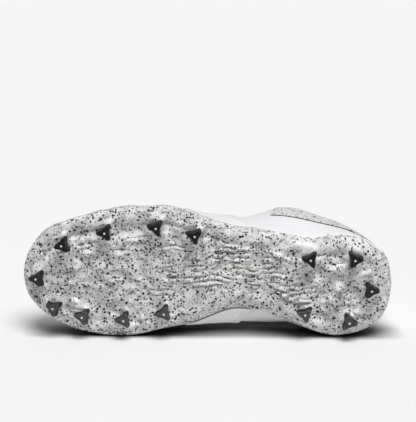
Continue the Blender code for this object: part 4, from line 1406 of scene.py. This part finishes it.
FOOT_REACH, FOOT_SOFT, FOOT_START, FOOT_RISE = 13.5, 2.5, 1.3, 0.9
LIP_START, LIP_SOFT = 11.0, 2.5
UNDERSIDE = -4.0
FOOT_BARE, SPOT_BARE_AND_HIGHLIGHT, LIP_BARE = 0.86, 0.8, 0.9


def store_number(piece, name, values):
    """Stores one number on each corner of a mesh."""
    stored = piece.data.attributes.new(name, "FLOAT", "POINT")
    stored.data.foreach_set("value", np.asarray(values, np.float32))


plate_u, plate_v, plate_w = to_shoe(places_of(sole_plate)).T
below_plate = sole_height("bottom", plate_u) - plate_w
stud_spots = zip(STUDS["along"], STUDS["across"])
gaps_to_studs = [np.hypot(plate_u - along, plate_v - across) for along, across in stud_spots]
near_stud = np.clip((FOOT_REACH - np.min(gaps_to_studs, axis=0)) / FOOT_SOFT, 0, 1)
on_foot = near_stud * np.clip((below_plate - FOOT_START) / FOOT_RISE, 0, 1)
lip = np.clip((-below_plate - LIP_START) / LIP_SOFT, 0, 1)
spot_masks = []
for spot_rows in (BARE_AND_HIGHLIGHT_SPOTS, DENSE_SPOTS, WARM_SPOTS):
    spot_mask = np.clip(placed_forms(plate_u, plate_v, spot_rows), 0, 1)
    spot_masks.append(spot_mask * (below_plate > UNDERSIDE))
bare_and_highlight, dense, warm = spot_masks
# The stored number also paints the highlight spots paler.
flakes = (1 + dense) * (1 - FOOT_BARE * on_foot) * (1 - SPOT_BARE_AND_HIGHLIGHT * bare_and_highlight) * (1 - LIP_BARE * lip)
store_number(sole_plate, "flakes", flakes)
store_number(sole_plate, "warmth", warm)
finish_piece(sole_plate, [plate_plastic], "outsole", "outsole")

# %% [markdown]
# ## Stud tips
# A black tip sits on each foot. It is the same disc with three corners, extruded and tapered, with a shallow
# rim inside its end face and a small pip in the middle, which carries a painted highlight. The ends of
# the studs on the inner side have been scuffed grey, and those of the foremost and rearmost a little.

# %% Model one tip and copy it
# The pip in the middle of each end, which carries the painted highlight, and the margin that picks its faces.
HIGHLIGHT_PIP_RADIUS, HIGHLIGHT_PIP_MARGIN = 0.66, 0.2
SCUFF_START, SCUFF_SOFT = 0.6, 0.4
SCUFFED = {6: 0.8, 7: 1.0, 8: 1.0, 9: 1.0, 13: 1.0, 14: 0.8, 5: 0.3, 12: 0.25}
TIP_RINGS = [
    (STUD_BASE_HEIGHT + GAP, STUD_FOOT_RADIUS, 1.0),
    (STUD_HEIGHT - 1.0, STUD_TIP_RADIUS + 0.50, 1.0),
    (STUD_HEIGHT - 0.35, STUD_TIP_RADIUS + 0.30, 1.0),
    (STUD_HEIGHT - 0.08, STUD_TIP_RADIUS + 0.06, 1.0),
    (STUD_HEIGHT, STUD_TIP_RADIUS - 0.35, 1.0),
    (STUD_HEIGHT, STUD_TIP_RADIUS - 1.05, 0.98),
    (STUD_HEIGHT - 0.42, STUD_TIP_RADIUS - 1.30, 0.95),
    (STUD_HEIGHT - 0.42, STUD_TIP_RADIUS - 1.65, 0.92),
    (STUD_HEIGHT - 0.10, STUD_TIP_RADIUS - 1.90, 0.88),
    (STUD_HEIGHT - 0.10, HIGHLIGHT_PIP_RADIUS + 0.22, 0.0),
    (STUD_HEIGHT - 0.04, HIGHLIGHT_PIP_RADIUS, 0.0),
    (STUD_HEIGHT, HIGHLIGHT_PIP_RADIUS * 0.7, 0.0),
]
tip_form = cornered_form("stud_tip_form", TIP_RINGS)
for stud_row, number in enumerate(STUDS["number"].astype(int)):
    tip = copy_of(tip_form, "stud_tip_%d" % number)
    on_end = np.clip((places_of(tip)[:, 2] - STUD_HEIGHT + SCUFF_START) / SCUFF_SOFT, 0, 1)
    store_number(tip, "scuffed", on_end * SCUFFED.get(number, 0.0))
    # Faces on the pip take the second material, the painted highlight.
    painted_highlight_faces = []
    for face in tip.data.polygons:
        inside = math.hypot(face.center.x, face.center.y) < HIGHLIGHT_PIP_RADIUS + HIGHLIGHT_PIP_MARGIN
        painted_highlight_faces.append(inside and face.center.z > STUD_HEIGHT - HIGHLIGHT_PIP_MARGIN)
    place_on_stud(tip, stud_row)
    turn_outwards(tip)
    finish_piece(tip, [stud_black, stud_mark], "stud", "stud_%d" % number)
    tip.data.polygons.foreach_set("material_index", np.array(painted_highlight_faces, np.int32))
bpy.data.objects.remove(tip_form)
print("tips placed:", len(STUDS["number"]))

# %% [markdown]
# ## Creases
# Leather that has been lasted and worn creases where the foot bends: across the vamp behind the toes, along
# the arch, and round the ankle. Each row runs one soft trough, with a ridge on both sides, from one place on
# the upper to another.

# %% Place the creases
CREASES = table("from_place from_climb to_place to_climb half_wide depth", [
    (5.6, 0.50, 5.9, 1.00, 3.4, 0.90),
    (6.3, 0.40, 6.45, 1.00, 2.6, 1.15),
    (6.8, 0.50, 6.85, 0.97, 2.4, 0.85),
    (32.5, 0.46, 32.2, 1.00, 3.2, 0.95),
    (31.7, 0.42, 31.55, 1.00, 2.6, 1.20),
    (31.1, 0.50, 31.1, 0.97, 2.3, 0.80),
    (7.2, 0.36, 8.2, 0.72, 2.6, 0.70),
    (30.8, 0.38, 29.8, 0.70, 2.6, 0.75),
    (9.2, 0.30, 12.8, 0.36, 3.2, 0.60),
    (10.0, 0.46, 13.4, 0.50, 3.4, 0.55),
    (12.0, 0.20, 14.4, 0.28, 2.8, 0.40),
    (12.9, 0.84, 14.6, 0.58, 3.4, 0.80),
    (25.1, 0.84, 23.4, 0.60, 3.4, 0.75),
    (15.2, 0.78, 17.6, 0.70, 3.0, 0.40),
    (22.8, 0.86, 20.6, 0.84, 2.6, 0.40),
    (26.2, 0.22, 23.8, 0.30, 3.0, 0.40),
])
CREASE_STEPS = 40
CREASE_ENDS, CREASE_TAPER = (0.02, 0.98), 0.7
FOLD_AWAY, FOLD_SHARE = 2.0, 0.4


def crease_depth(points):
    """How far the leather sinks at points near the upper, in millimetres; ridges count below zero."""
    total = np.zeros(len(points))
    share = np.linspace(0, 1, CREASE_STEPS)
    for from_place, from_climb, to_place, to_climb, half_wide, depth in zip(*CREASES.values()):
        line = upper_point(from_place + (to_place - from_place) * share,
                           from_climb + (to_climb - from_climb) * share)
        gaps = np.linalg.norm(points[:, None, :] - line[None, :, :], axis=-1)
        nearest = gaps.argmin(axis=1)
        gap = gaps[np.arange(len(points)), nearest]
        taper = np.sin(math.pi * np.clip(share[nearest], *CREASE_ENDS)) ** CREASE_TAPER
        fold = bell(gap, FOLD_AWAY * half_wide, half_wide)
        total += depth * taper * (bell(gap, 0.0, half_wide) - FOLD_SHARE * fold)
    return total


def crease_leather(piece):
    """Sinks the creases into a sheet along its own directions."""
    spots = places_of(piece)
    depth = crease_depth(to_shoe(spots)) * MM
    move_corners(piece, spots - directions_of(piece) * depth[:, None])


print("creases:", len(CREASES["depth"]))

# %% [markdown]
# ## Upper
# One piece of leather goes round the whole foot, open at the collar, along the throat and underneath. It is
# lasted as a single sheet, creased, and then given its thickness inwards, thicker at the padded collar.

# %% Last the upper
THROAT_WIDE = 8.2
SPANS = (
    (0, TOE_FAN, 18),
    (TOE_FAN, THROAT_FRONT, 19),
    (THROAT_FRONT, THROAT_WIDE, 10),
    (THROAT_WIDE, TOP_EYELET, 20),
    (TOP_EYELET, HEEL_FAN, 20),
    (HEEL_FAN, HEEL, 18),
)
SIDE_STATIONS = np.concatenate([np.linspace(*span)[:-1] for span in SPANS] + [[HEEL]])
UPPER_PLACES = np.concatenate([SIDE_STATIONS, LOOP - SIDE_STATIONS[:-1][::-1]])
UPPER_CLIMBS = np.linspace(0, 1, 40)
COLLAR_POINTS, COLLAR_FULL, COLLAR_FADE = 200, 1.4, 16.0

upper_grid = upper_point(UPPER_PLACES[None, :], UPPER_CLIMBS[:, None])
upper_ways = upper_normal(UPPER_PLACES[None, :], UPPER_CLIMBS[:, None])
leather_upper = lasted_sheet("leather_upper", upper_grid, upper_ways)
merge_corners(leather_upper)
crease_leather(leather_upper)
wall = leather_upper.vertex_groups.new(name="wall")
upper_shoe = to_shoe(places_of(leather_upper))
collar_line = top_edge(np.linspace(TOP_EYELET, LOOP - TOP_EYELET, COLLAR_POINTS))
to_collar = np.sqrt(((upper_shoe[:, None, :] - collar_line[None, :, :]) ** 2).sum(axis=-1)).min(axis=1)
padding = np.clip(COLLAR_FULL - to_collar / COLLAR_FADE, 0, 1)
thickness = UPPER_WALL + (COLLAR_WALL - UPPER_WALL) * padding
for corner_index, wall_mm in enumerate(thickness):
    wall.add([corner_index], float(wall_mm / COLLAR_WALL), "REPLACE")
leather_upper.data.materials.append(upper_leather)
leather_upper.data.materials.append(lining_cloth)
apply_modifier(leather_upper, "SOLIDIFY", thickness=COLLAR_WALL * MM, offset=-1.0, vertex_group="wall",
               material_offset=1, use_even_offset=False)
apply_modifier(leather_upper, "SUBSURF", levels=1, render_levels=1)
print("upper corners:", len(leather_upper.data.vertices))

# %% [markdown]
# ## Panels
# A saddle panel lies over each side of the midfoot and carries the eyelets, and a speckled band goes round
# the heel. They are cut from the same function as the upper, one leather thickness further out, and pressed
# in along their edges where the thread pulls them down.

# %% Cut the panels
SADDLE_FOOT = 3.0
SADDLE_EDGE = table("share front rear", [
    (0.00, 8.90, 11.95),
    (0.20, 8.70, 11.35),
    (0.40, 8.35, 10.95),
    (0.60, 7.95, 10.95),
    (0.80, 7.55, 11.45),
    (1.00, 7.35, 12.05),
])
WRAP_MEDIAL, WRAP_LATERAL, WRAP_SLANT = 17.0, 12.9, 0.5
WRAP_LOW, WRAP_HIGH, WRAP_SEAM = 0.46, 0.82, 2.0
SADDLE_ROWS, SADDLE_COLUMNS, WRAP_ROWS, WRAP_COLUMNS = 56, 44, 22, 110
SEAM_INSET, SECOND_SEAM = 2.6, 5.2
SEAM_PRESS, SEAM_HALF_WIDE = 0.22, 0.8
EDGE_PRESS, EDGE_PRESS_WIDE = 0.30, 1.6
PANEL_THICK = OVERLAY - 0.32
SIDES = {"medial": False, "lateral": True}


def saddle_grid(lateral, shares, across):
    """Places and climbs of a saddle panel, from just above the rim to the throat."""
    front = smooth(SADDLE_EDGE["share"], SADDLE_EDGE["front"], shares)
    rear = smooth(SADDLE_EDGE["share"], SADDLE_EDGE["rear"], shares)
    stations = front[:, None] + (rear - front)[:, None] * across[None, :]
    places = on_side(stations, lateral)
    climbs = np.zeros_like(places)
    for row, share in enumerate(shares):
        low = sole_height("rim", outline(places[row])[0][:, 0]) + SADDLE_FOOT
        climbs[row] = climb_at(places[row], low + (side_girth(places[row]) - low) * share)
    return places, climbs


def wrap_grid(shares, across):
    """Places and climbs of the heel band, longer on the outer side, with slanted ends."""
    climbs = WRAP_LOW + (WRAP_HIGH - WRAP_LOW) * shares
    start = WRAP_MEDIAL + WRAP_SLANT * (shares - 0.5)
    end = LOOP - WRAP_LATERAL - WRAP_SLANT * (shares - 0.5)
    places = start[:, None] + (end - start)[:, None] * across[None, :]
    return places, np.broadcast_to(climbs[:, None], places.shape)


def border_distance(points):
    """Distance of each point of a grid from the grid's own border."""
    border = np.concatenate([points[0], points[-1], points[:, 0], points[:, -1]])
    gaps = np.linalg.norm(points.reshape(-1, 1, 3) - border[None, :, :], axis=-1)
    return gaps.min(axis=1).reshape(points.shape[:2])


def cut_panel(name, grid, clear, seams):
    """A panel over the upper: lasted, pressed in along its seams, creased and thickened inwards."""
    places, climbs = grid
    ways = upper_normal(places, climbs)
    points = upper_point(places, climbs) + ways * (clear + OVERLAY)
    from_border = border_distance(points)
    press = EDGE_PRESS * np.clip(1 - from_border / EDGE_PRESS_WIDE, 0, 1) ** 2
    for seam in seams:
        press = press + SEAM_PRESS * bell(from_border, seam, SEAM_HALF_WIDE)
    panel = lasted_sheet(name, points - ways * press[..., None], ways)
    crease_leather(panel)
    apply_modifier(panel, "SOLIDIFY", thickness=PANEL_THICK * MM, offset=-1.0)
    apply_modifier(panel, "SUBSURF", levels=1, render_levels=1)
    return panel


saddle_panels = {}
for side_name, on_lateral in SIDES.items():
    panel_grid = saddle_grid(on_lateral, np.linspace(0, 1, SADDLE_ROWS), np.linspace(0, 1, SADDLE_COLUMNS))
    panel_name = "saddle_panel_" + side_name
    saddle_panels[side_name] = cut_panel(panel_name, panel_grid, SADDLE_GAP, (SEAM_INSET, SECOND_SEAM))
band_grid = wrap_grid(np.linspace(0, 1, WRAP_ROWS), np.linspace(0, 1, WRAP_COLUMNS))
heel_band = cut_panel("heel_band", band_grid, WRAP_GAP, (WRAP_SEAM,))
finish_piece(heel_band, [band_plastic], "heel_wrap", "heel_wrap")

# %% [markdown]
# ## Eyelets
# The lace goes through punched holes, six on each side. One row of round punches is set along the throat on
# each side, and a Boolean takes them out of the panel and of the upper under it.

# %% Punch the eyelets
LACE_ROWS = np.linspace(7.9, 11.2, 6)
EYELET_INSET, HOLE_INSET, HOLE_RADIUS = 7.5, 9.0, 2.1
PUNCH_DEPTH, PUNCH_SIDES = 7.0, 24


def spot_by_throat(place, inset, lift):
    """A point some way below the throat edge and some way off the upper's face, and the way out there."""
    climb = climb_at(place, -inset)
    way = upper_normal(place, climb)
    return (upper_point(place, climb) + way * lift)[0], way[0]


def punch_row(lateral):
    """Six round punches along one side of the throat, joined into one cutter."""
    punches = []
    for station in LACE_ROWS:
        spot, way = spot_by_throat(on_side(station, lateral), HOLE_INSET, 0.0)
        start_fresh()
        size = {"radius": HOLE_RADIUS * MM, "depth": PUNCH_DEPTH * MM}
        bpy.ops.mesh.primitive_cylinder_add(vertices=PUNCH_SIDES, **size)
        punch = bpy.context.object
        turn_to = Vector((way @ LAY.T).tolist()).to_track_quat("Z", "Y")
        placing = Matrix.Translation(to_room(spot).tolist()) @ turn_to.to_matrix().to_4x4()
        punch.data.transform(placing)
        punches.append(punch)
    return join_pieces(punches)


for side_name, on_lateral in SIDES.items():
    cutter = punch_row(on_lateral)
    for pierced in (saddle_panels[side_name], leather_upper):
        apply_modifier(pierced, "BOOLEAN", operation="DIFFERENCE", solver="MANIFOLD", object=cutter)
    bpy.data.objects.remove(cutter)
    finish_piece(saddle_panels[side_name], [panel_leather], "saddle", "saddle_" + side_name)
finish_piece(leather_upper, [upper_leather, lining_cloth], "upper", "upper")

# %% [markdown]
# ## Stitching
# Panels are sewn with a doubled row of thread. One stitch is a stretched ball of a few faces, flattened where
# it lies on the leather; it is copied along each seam at a steady pitch.

# %% Model one stitch
STITCH_LONG, STITCH_PITCH, STITCH_THICK = 2.1, 2.9, 0.62
STITCH_LOW, STITCH_UNDER = 0.8, -0.12


def stitch_form():
    """One stitch lying along x at the origin, in millimetres."""
    start_fresh()
    bpy.ops.mesh.primitive_uv_sphere_add(segments=8, ring_count=5, radius=0.5)
    form = bpy.context.object
    bpy.ops.object.mode_set(mode="EDIT")
    bpy.ops.mesh.select_all(action="SELECT")
    bpy.ops.transform.rotate(value=math.pi / 2, orient_axis="Y", center_override=(0, 0, 0))
    bpy.ops.transform.resize(value=(STITCH_LONG, STITCH_THICK, STITCH_THICK * STITCH_LOW))
    bpy.ops.object.mode_set(mode="OBJECT")
    spots = places_of(form)
    spots[:, 2] = np.maximum(spots[:, 2], STITCH_UNDER)
    faces = [list(face.vertices) for face in form.data.polygons]
    bpy.data.objects.remove(form)
    return spots, faces


STITCH_SPOTS, STITCH_FACES = stitch_form()
print("faces of a stitch:", len(STITCH_FACES))

# %% [markdown]
# A seam is a line of points on the leather, stepped along at the pitch of the stitches. The saddle panels
# have two rows along their front and rear edges and one along the throat.

# %% Sew the seams
SEAM_STEPS, SEAM_COLUMNS = 140, 61
SEAM_SHARES, SEAM_THROAT = (0.02, 0.97), (7.55, 11.8)
PANEL_FACE = OVERLAY - 0.12
RUN_STEP = 0.3


def even_steps(points, pitch):
    """Even steps along a line of points: place numbers between the points."""
    lengths = run_lengths(points)
    count = int(lengths[-1] / pitch)
    return np.interp((np.arange(count) + 0.5) * pitch, lengths, np.arange(len(points)))


def read_line(points, steps):
    """Reads a line of points at place numbers between them."""
    known = np.arange(len(points))
    return np.stack([np.interp(steps, known, points[:, axis]) for axis in range(3)], axis=-1)


def sew(name, lines):
    """Copies the stitch along lines of points with their outward directions, as one mesh."""
    corners = []
    faces = []
    along, across, up = STITCH_SPOTS[:, :1], STITCH_SPOTS[:, 1:2], STITCH_SPOTS[:, 2:]
    for points, ways in lines:
        steps = even_steps(points, STITCH_PITCH)
        spots, outs = read_line(points, steps), read_line(ways, steps)
        runs = unit(read_line(points, steps + RUN_STEP) - read_line(points, steps - RUN_STEP))
        sides = np.cross(outs, runs)
        for spot, run, side_way, out in zip(spots, runs, sides, outs):
            start = len(corners) * len(STITCH_SPOTS)
            corners.append(spot + (along * run + across * side_way + up * out))
            faces.extend([[corner + start for corner in face] for face in STITCH_FACES])
    sewn = add_mesh(name, np.concatenate(corners), faces)
    finish_piece(sewn, [thread], "lace")
    print("stitches:", len(corners))


def lifted_line(places, climbs, lift):
    """A line of points some way off the upper, creased like it, with the ways out."""
    ways = upper_normal(places, climbs)
    points = upper_point(places, climbs) + ways * lift
    return points - ways * crease_depth(points)[:, None], ways


def saddle_seams(lateral):
    """Doubled rows inside the front and rear edges of a saddle panel, and one along the throat."""
    across = np.linspace(0, 1, SEAM_COLUMNS)
    places, climbs = saddle_grid(lateral, np.linspace(*SEAM_SHARES, SEAM_STEPS), across)
    widths = run_lengths(upper_point(places, climbs))
    lines = []
    for inset in (SEAM_INSET, SECOND_SEAM):
        for from_rear in (False, True):
            wanted = widths[:, -1] - inset if from_rear else np.full(SEAM_STEPS, inset)
            at = np.array([np.interp(one, width, across) for one, width in zip(wanted, widths)])
            seam_places = np.array([np.interp(a, across, row) for a, row in zip(at, places)])
            seam_climbs = np.array([np.interp(a, across, row) for a, row in zip(at, climbs)])
            lines.append(lifted_line(seam_places, seam_climbs, SADDLE_GAP + PANEL_FACE))
    throat = on_side(np.linspace(*SEAM_THROAT, SEAM_STEPS), lateral)
    lines.append(lifted_line(throat, climb_at(throat, -SEAM_INSET), SADDLE_GAP + PANEL_FACE))
    return lines


for side_name, on_lateral in SIDES.items():
    sew("stitching_" + side_name, saddle_seams(on_lateral))

# %% [markdown]
# The collar is bound with one row of thread a little below its edge, and the heel band is sewn down along its
# upper and lower edges.

# %% Sew the collar and the heel band
COLLAR_START, COLLAR_STEPS, COLLAR_SEAM, COLLAR_LIFT = 12.25, 400, 5.0, 0.05
WRAP_STEPS, WRAP_SEAM_CLIMB, WRAP_SEAM_END = 200, 0.034, 0.12

collar_places = np.linspace(COLLAR_START, LOOP - COLLAR_START, COLLAR_STEPS)
collar_lines = [lifted_line(collar_places, climb_at(collar_places, -COLLAR_SEAM), COLLAR_LIFT)]
wrap_lines = []
for wrap_climb in (WRAP_LOW + WRAP_SEAM_CLIMB, WRAP_HIGH - WRAP_SEAM_CLIMB):
    wrap_share = (wrap_climb - WRAP_LOW) / (WRAP_HIGH - WRAP_LOW) - 0.5
    wrap_start = WRAP_MEDIAL + WRAP_SEAM_END + WRAP_SLANT * wrap_share
    wrap_end = LOOP - WRAP_LATERAL - WRAP_SEAM_END - WRAP_SLANT * wrap_share
    wrap_places = np.linspace(wrap_start, wrap_end, WRAP_STEPS)
    wrap_lines.append(lifted_line(wrap_places, np.full(WRAP_STEPS, wrap_climb), WRAP_GAP + PANEL_FACE))
sew("stitching_heel", collar_lines + wrap_lines)

# %% [markdown]
# ## Tongue and sock liner
# The tongue is a padded tab under the lace. A copy of its solid is merged, turned back into squares and
# subdivided, which rounds it like a filled pad; sewn channels then press a few lines into it.

# %% Pad the tongue
SOLID_MERGE = 0.00002
SQUARE_LIMITS = {"face_threshold": math.radians(50), "shape_threshold": math.radians(60)}
CHANNEL_PITCH, CHANNEL_SHIFT, CHANNEL_HALF_WIDE, CHANNEL_DEPTH = 15.0, 6.0, 1.5, 0.5
CHANNEL_END, CHANNEL_SOFT = 150.0, 20.0


def copy_of_solid(name, node_name):
    """A merged copy of a measured solid, with its triangles joined back into squares."""
    twin = copy_of(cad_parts[node_name], name)
    merge = (bpy.ops.mesh.remove_doubles, {"threshold": SOLID_MERGE})
    edit_all(twin, merge, (bpy.ops.mesh.tris_convert_to_quads, SQUARE_LIMITS))
    return twin


padded_tongue = copy_of_solid("padded_tongue", "tongue")
apply_modifier(padded_tongue, "SUBSURF", levels=3, render_levels=3)
tongue_spots = places_of(padded_tongue)
tongue_along = to_shoe(tongue_spots)[:, 0]
channel = bell(np.mod(tongue_along + CHANNEL_SHIFT, CHANNEL_PITCH), CHANNEL_PITCH / 2, CHANNEL_HALF_WIDE)
channel *= np.clip((CHANNEL_END - tongue_along) / CHANNEL_SOFT, 0, 1)
sunk = directions_of(padded_tongue) * (channel * CHANNEL_DEPTH * MM)[:, None]
move_corners(padded_tongue, tongue_spots - sunk)
finish_piece(padded_tongue, [tongue_leather], "tongue", "tongue")

# %% [markdown]
# The foot stands on a sock liner, a thin sole covered with cloth. It is a copy of its solid whose edges are
# rounded with a bevel, as the edge of cut foam is.

# %% Round the sock liner
LINER_ROUND, LINER_ANGLE = 1.0, math.radians(50)

sock_liner = copy_of_solid("sock_liner", "insole")
apply_modifier(sock_liner, "BEVEL", width=LINER_ROUND * MM, segments=3, limit_method="ANGLE",
               angle_limit=LINER_ANGLE)
finish_piece(sock_liner, [liner_cloth], "insole", "insole")

# %% [markdown]
# ## Lace
# One flat lace crosses the tongue in six straight bars. From each bar it dips through an eyelet and runs
# under the leather to the next bar on that side. Both ends stop inside at the top eyelets.

# %% Route of the lace
TONGUE_CLEAR, TONGUE_DIP, TONGUE_DIP_REACH, TONGUE_CROWN = 0.8, 2.4, 1.2, 0.17
TONGUE_EDGE, TONGUE_NARROW = 1.5, 0.55
LACE_WIDTH, LACE_THICK, LACE_EDGE_LIFT, LACE_CLEAR = 6.8, 1.1, 0.9, 0.45
LACE_OVER_TONGUE, LACE_OVER_CHORD = 1.9, 1.0
ON_PANEL = SADDLE_GAP + OVERLAY + LACE_CLEAR + 0.7
HIDDEN = -(UPPER_WALL + 0.42)
LACE_ORDER = ((6, True), (4, False), (2, True), (1, False), (3, True), (5, False))
LACE_END_ROW = 5.7
# One end of a bar, from the hole upwards: how far below the throat edge, and how far off the upper.
BAR_END = (
    (HOLE_INSET, HIDDEN + 0.5),
    (HOLE_INSET, 0.2),
    (HOLE_INSET - 0.3, ON_PANEL - 0.75),
    (EYELET_INSET - 0.6, ON_PANEL),
    (1.0, ON_PANEL + LACE_EDGE_LIFT),
)
GATHERED = [2.6, 3.0, 4.6]
BAR_WIDTHS = GATHERED + [LACE_WIDTH] * 5 + GATHERED[::-1]
UNDER_SHARES, UNDER_WIDTH, UNDER_INSET = (0.2, 0.4, 0.6, 0.8), 3.0, HOLE_INSET + 0.4


def tongue_crown(station):
    """The top of the tongue in the middle of the throat, and its outward direction."""
    behind_front = (station - THROAT_FRONT) / (TOP_EYELET - THROAT_FRONT)
    narrow = 1 - TONGUE_NARROW * np.clip(behind_front, 0, 1)
    dip = np.clip(1 - abs(station - THROAT_FRONT) / TONGUE_DIP_REACH, 0, 1)
    deep = TONGUE_CLEAR + TONGUE_DIP * dip
    both_sides = (station, LOOP - station)
    edges = [top_edge(np.array(place)) for place in both_sides]
    way = unit(sum(spot_by_throat(place, TONGUE_EDGE * narrow, 0.0)[1] for place in both_sides))
    rise_up = np.array([0.0, 0.0, TONGUE_CROWN * np.linalg.norm(edges[1] - edges[0])])
    return (edges[0] + edges[1]) / 2 + rise_up - way * (UPPER_WALL + deep), way


def bar_path(station, from_lateral):
    """Middle line of one bar with the way up, from hole to hole."""
    crown, crown_way = tongue_crown(station)
    spots = []
    ways = []
    for lateral, order in ((from_lateral, 1), (not from_lateral, -1)):
        place = on_side(station, lateral)
        found = [spot_by_throat(place, inset, lift) for inset, lift in BAR_END[::order]]
        spots.append([spot for spot, _ in found])
        ways.append([way for _, way in found])
    over = crown + crown_way * LACE_OVER_TONGUE
    chord = (spots[0][-1] + spots[1][0]) / 2
    over[2] = max(over[2], chord[2] + LACE_OVER_CHORD)
    return spots[0] + [over] + spots[1], ways[0] + [crown_way] + ways[1]


def lace_route():
    """All points of the lace with the way up and the width at each."""
    spots, ways, widths = [], [], []
    next_rows = [row for row, _ in LACE_ORDER[1:]] + [LACE_END_ROW]
    for (row, from_lateral), next_row in zip(LACE_ORDER, next_rows):
        station = LACE_ROWS[row - 1]
        bar_spots, bar_ways = bar_path(station, from_lateral)
        spots.extend(bar_spots)
        ways.extend(bar_ways)
        widths.extend(BAR_WIDTHS)
        next_station = np.interp(next_row, np.arange(1, len(LACE_ROWS) + 1), LACE_ROWS)
        for share in UNDER_SHARES:
            at = station + (next_station - station) * share
            spot, way = spot_by_throat(on_side(at, not from_lateral), UNDER_INSET, HIDDEN)
            spots.append(spot)
            ways.append(way)
            widths.append(UNDER_WIDTH)
    return np.array(spots), np.array(ways), np.array(widths)


lace_spots, lace_ways, lace_widths = lace_route()
print("lace points:", len(lace_spots))

# %% [markdown]
# A flat section with rounded edges is swept along the route. It turns with the leather under it, and gathers
# to a narrow, thin band where the lace goes through a hole and under the leather.

# %% Sweep the ribbon
RIBBON_SIDES, RIBBON_STEP, RIBBON_SQUARE = 12, 0.8, 0.6
EASING_ROUNDS = 4
GATHERED_WIDTH, GATHERED_THICK = 3.1, 0.7


def squared(wave):
    """Flattens a wave towards a square one."""
    return np.sign(wave) * np.abs(wave) ** RIBBON_SQUARE


def sweep_ribbon(name, spots, ways, widths):
    """A flat ribbon with rounded edges along a route, closed at both ends."""
    known = run_lengths(spots)
    wanted = np.linspace(0, known[-1], int(known[-1] / RIBBON_STEP))
    line = np.stack([smooth(known, spots[:, axis], wanted) for axis in range(3)], axis=-1)
    ups = np.stack([np.interp(wanted, known, ways[:, axis]) for axis in range(3)], axis=-1)
    width = np.interp(wanted, known, widths)
    runs = unit(np.gradient(line, axis=0))
    sides = np.cross(runs, ups)
    for _ in range(EASING_ROUNDS):
        sides[1:-1] = (sides[:-2] + sides[1:-1] * 2 + sides[2:]) / 4
    sides /= np.maximum(np.linalg.norm(sides, axis=-1, keepdims=True), NO_LENGTH)
    ups = np.cross(sides, runs)
    angles = np.linspace(0, 2 * math.pi, RIBBON_SIDES, endpoint=False) + math.pi / RIBBON_SIDES
    thick = np.where(width > GATHERED_WIDTH, LACE_THICK, GATHERED_THICK)
    reach_side = (width[:, None] * squared(np.cos(angles)) / 2)[..., None]
    reach_up = (thick[:, None] * squared(np.sin(angles)) / 2)[..., None]
    rings = line[:, None, :] + sides[:, None, :] * reach_side + ups[:, None, :] * reach_up
    faces = []
    for start in range(0, (len(line) - 1) * RIBBON_SIDES, RIBBON_SIDES):
        for column in range(RIBBON_SIDES):
            beside = (column + 1) % RIBBON_SIDES
            after = start + RIBBON_SIDES
            faces.append((start + column, start + beside, after + beside, after + column))
    faces.append(tuple(range(RIBBON_SIDES)))
    faces.append(tuple(range((len(line) - 1) * RIBBON_SIDES, len(line) * RIBBON_SIDES)))
    print("lace length: %.0f mm" % known[-1])
    return add_mesh(name, rings.reshape(-1, 3), faces)


lace = sweep_ribbon("lace", lace_spots, lace_ways, lace_widths)
finish_piece(lace, [lace_cloth], "lace", *["lace_bar_%d" % row for row in range(1, 7)])
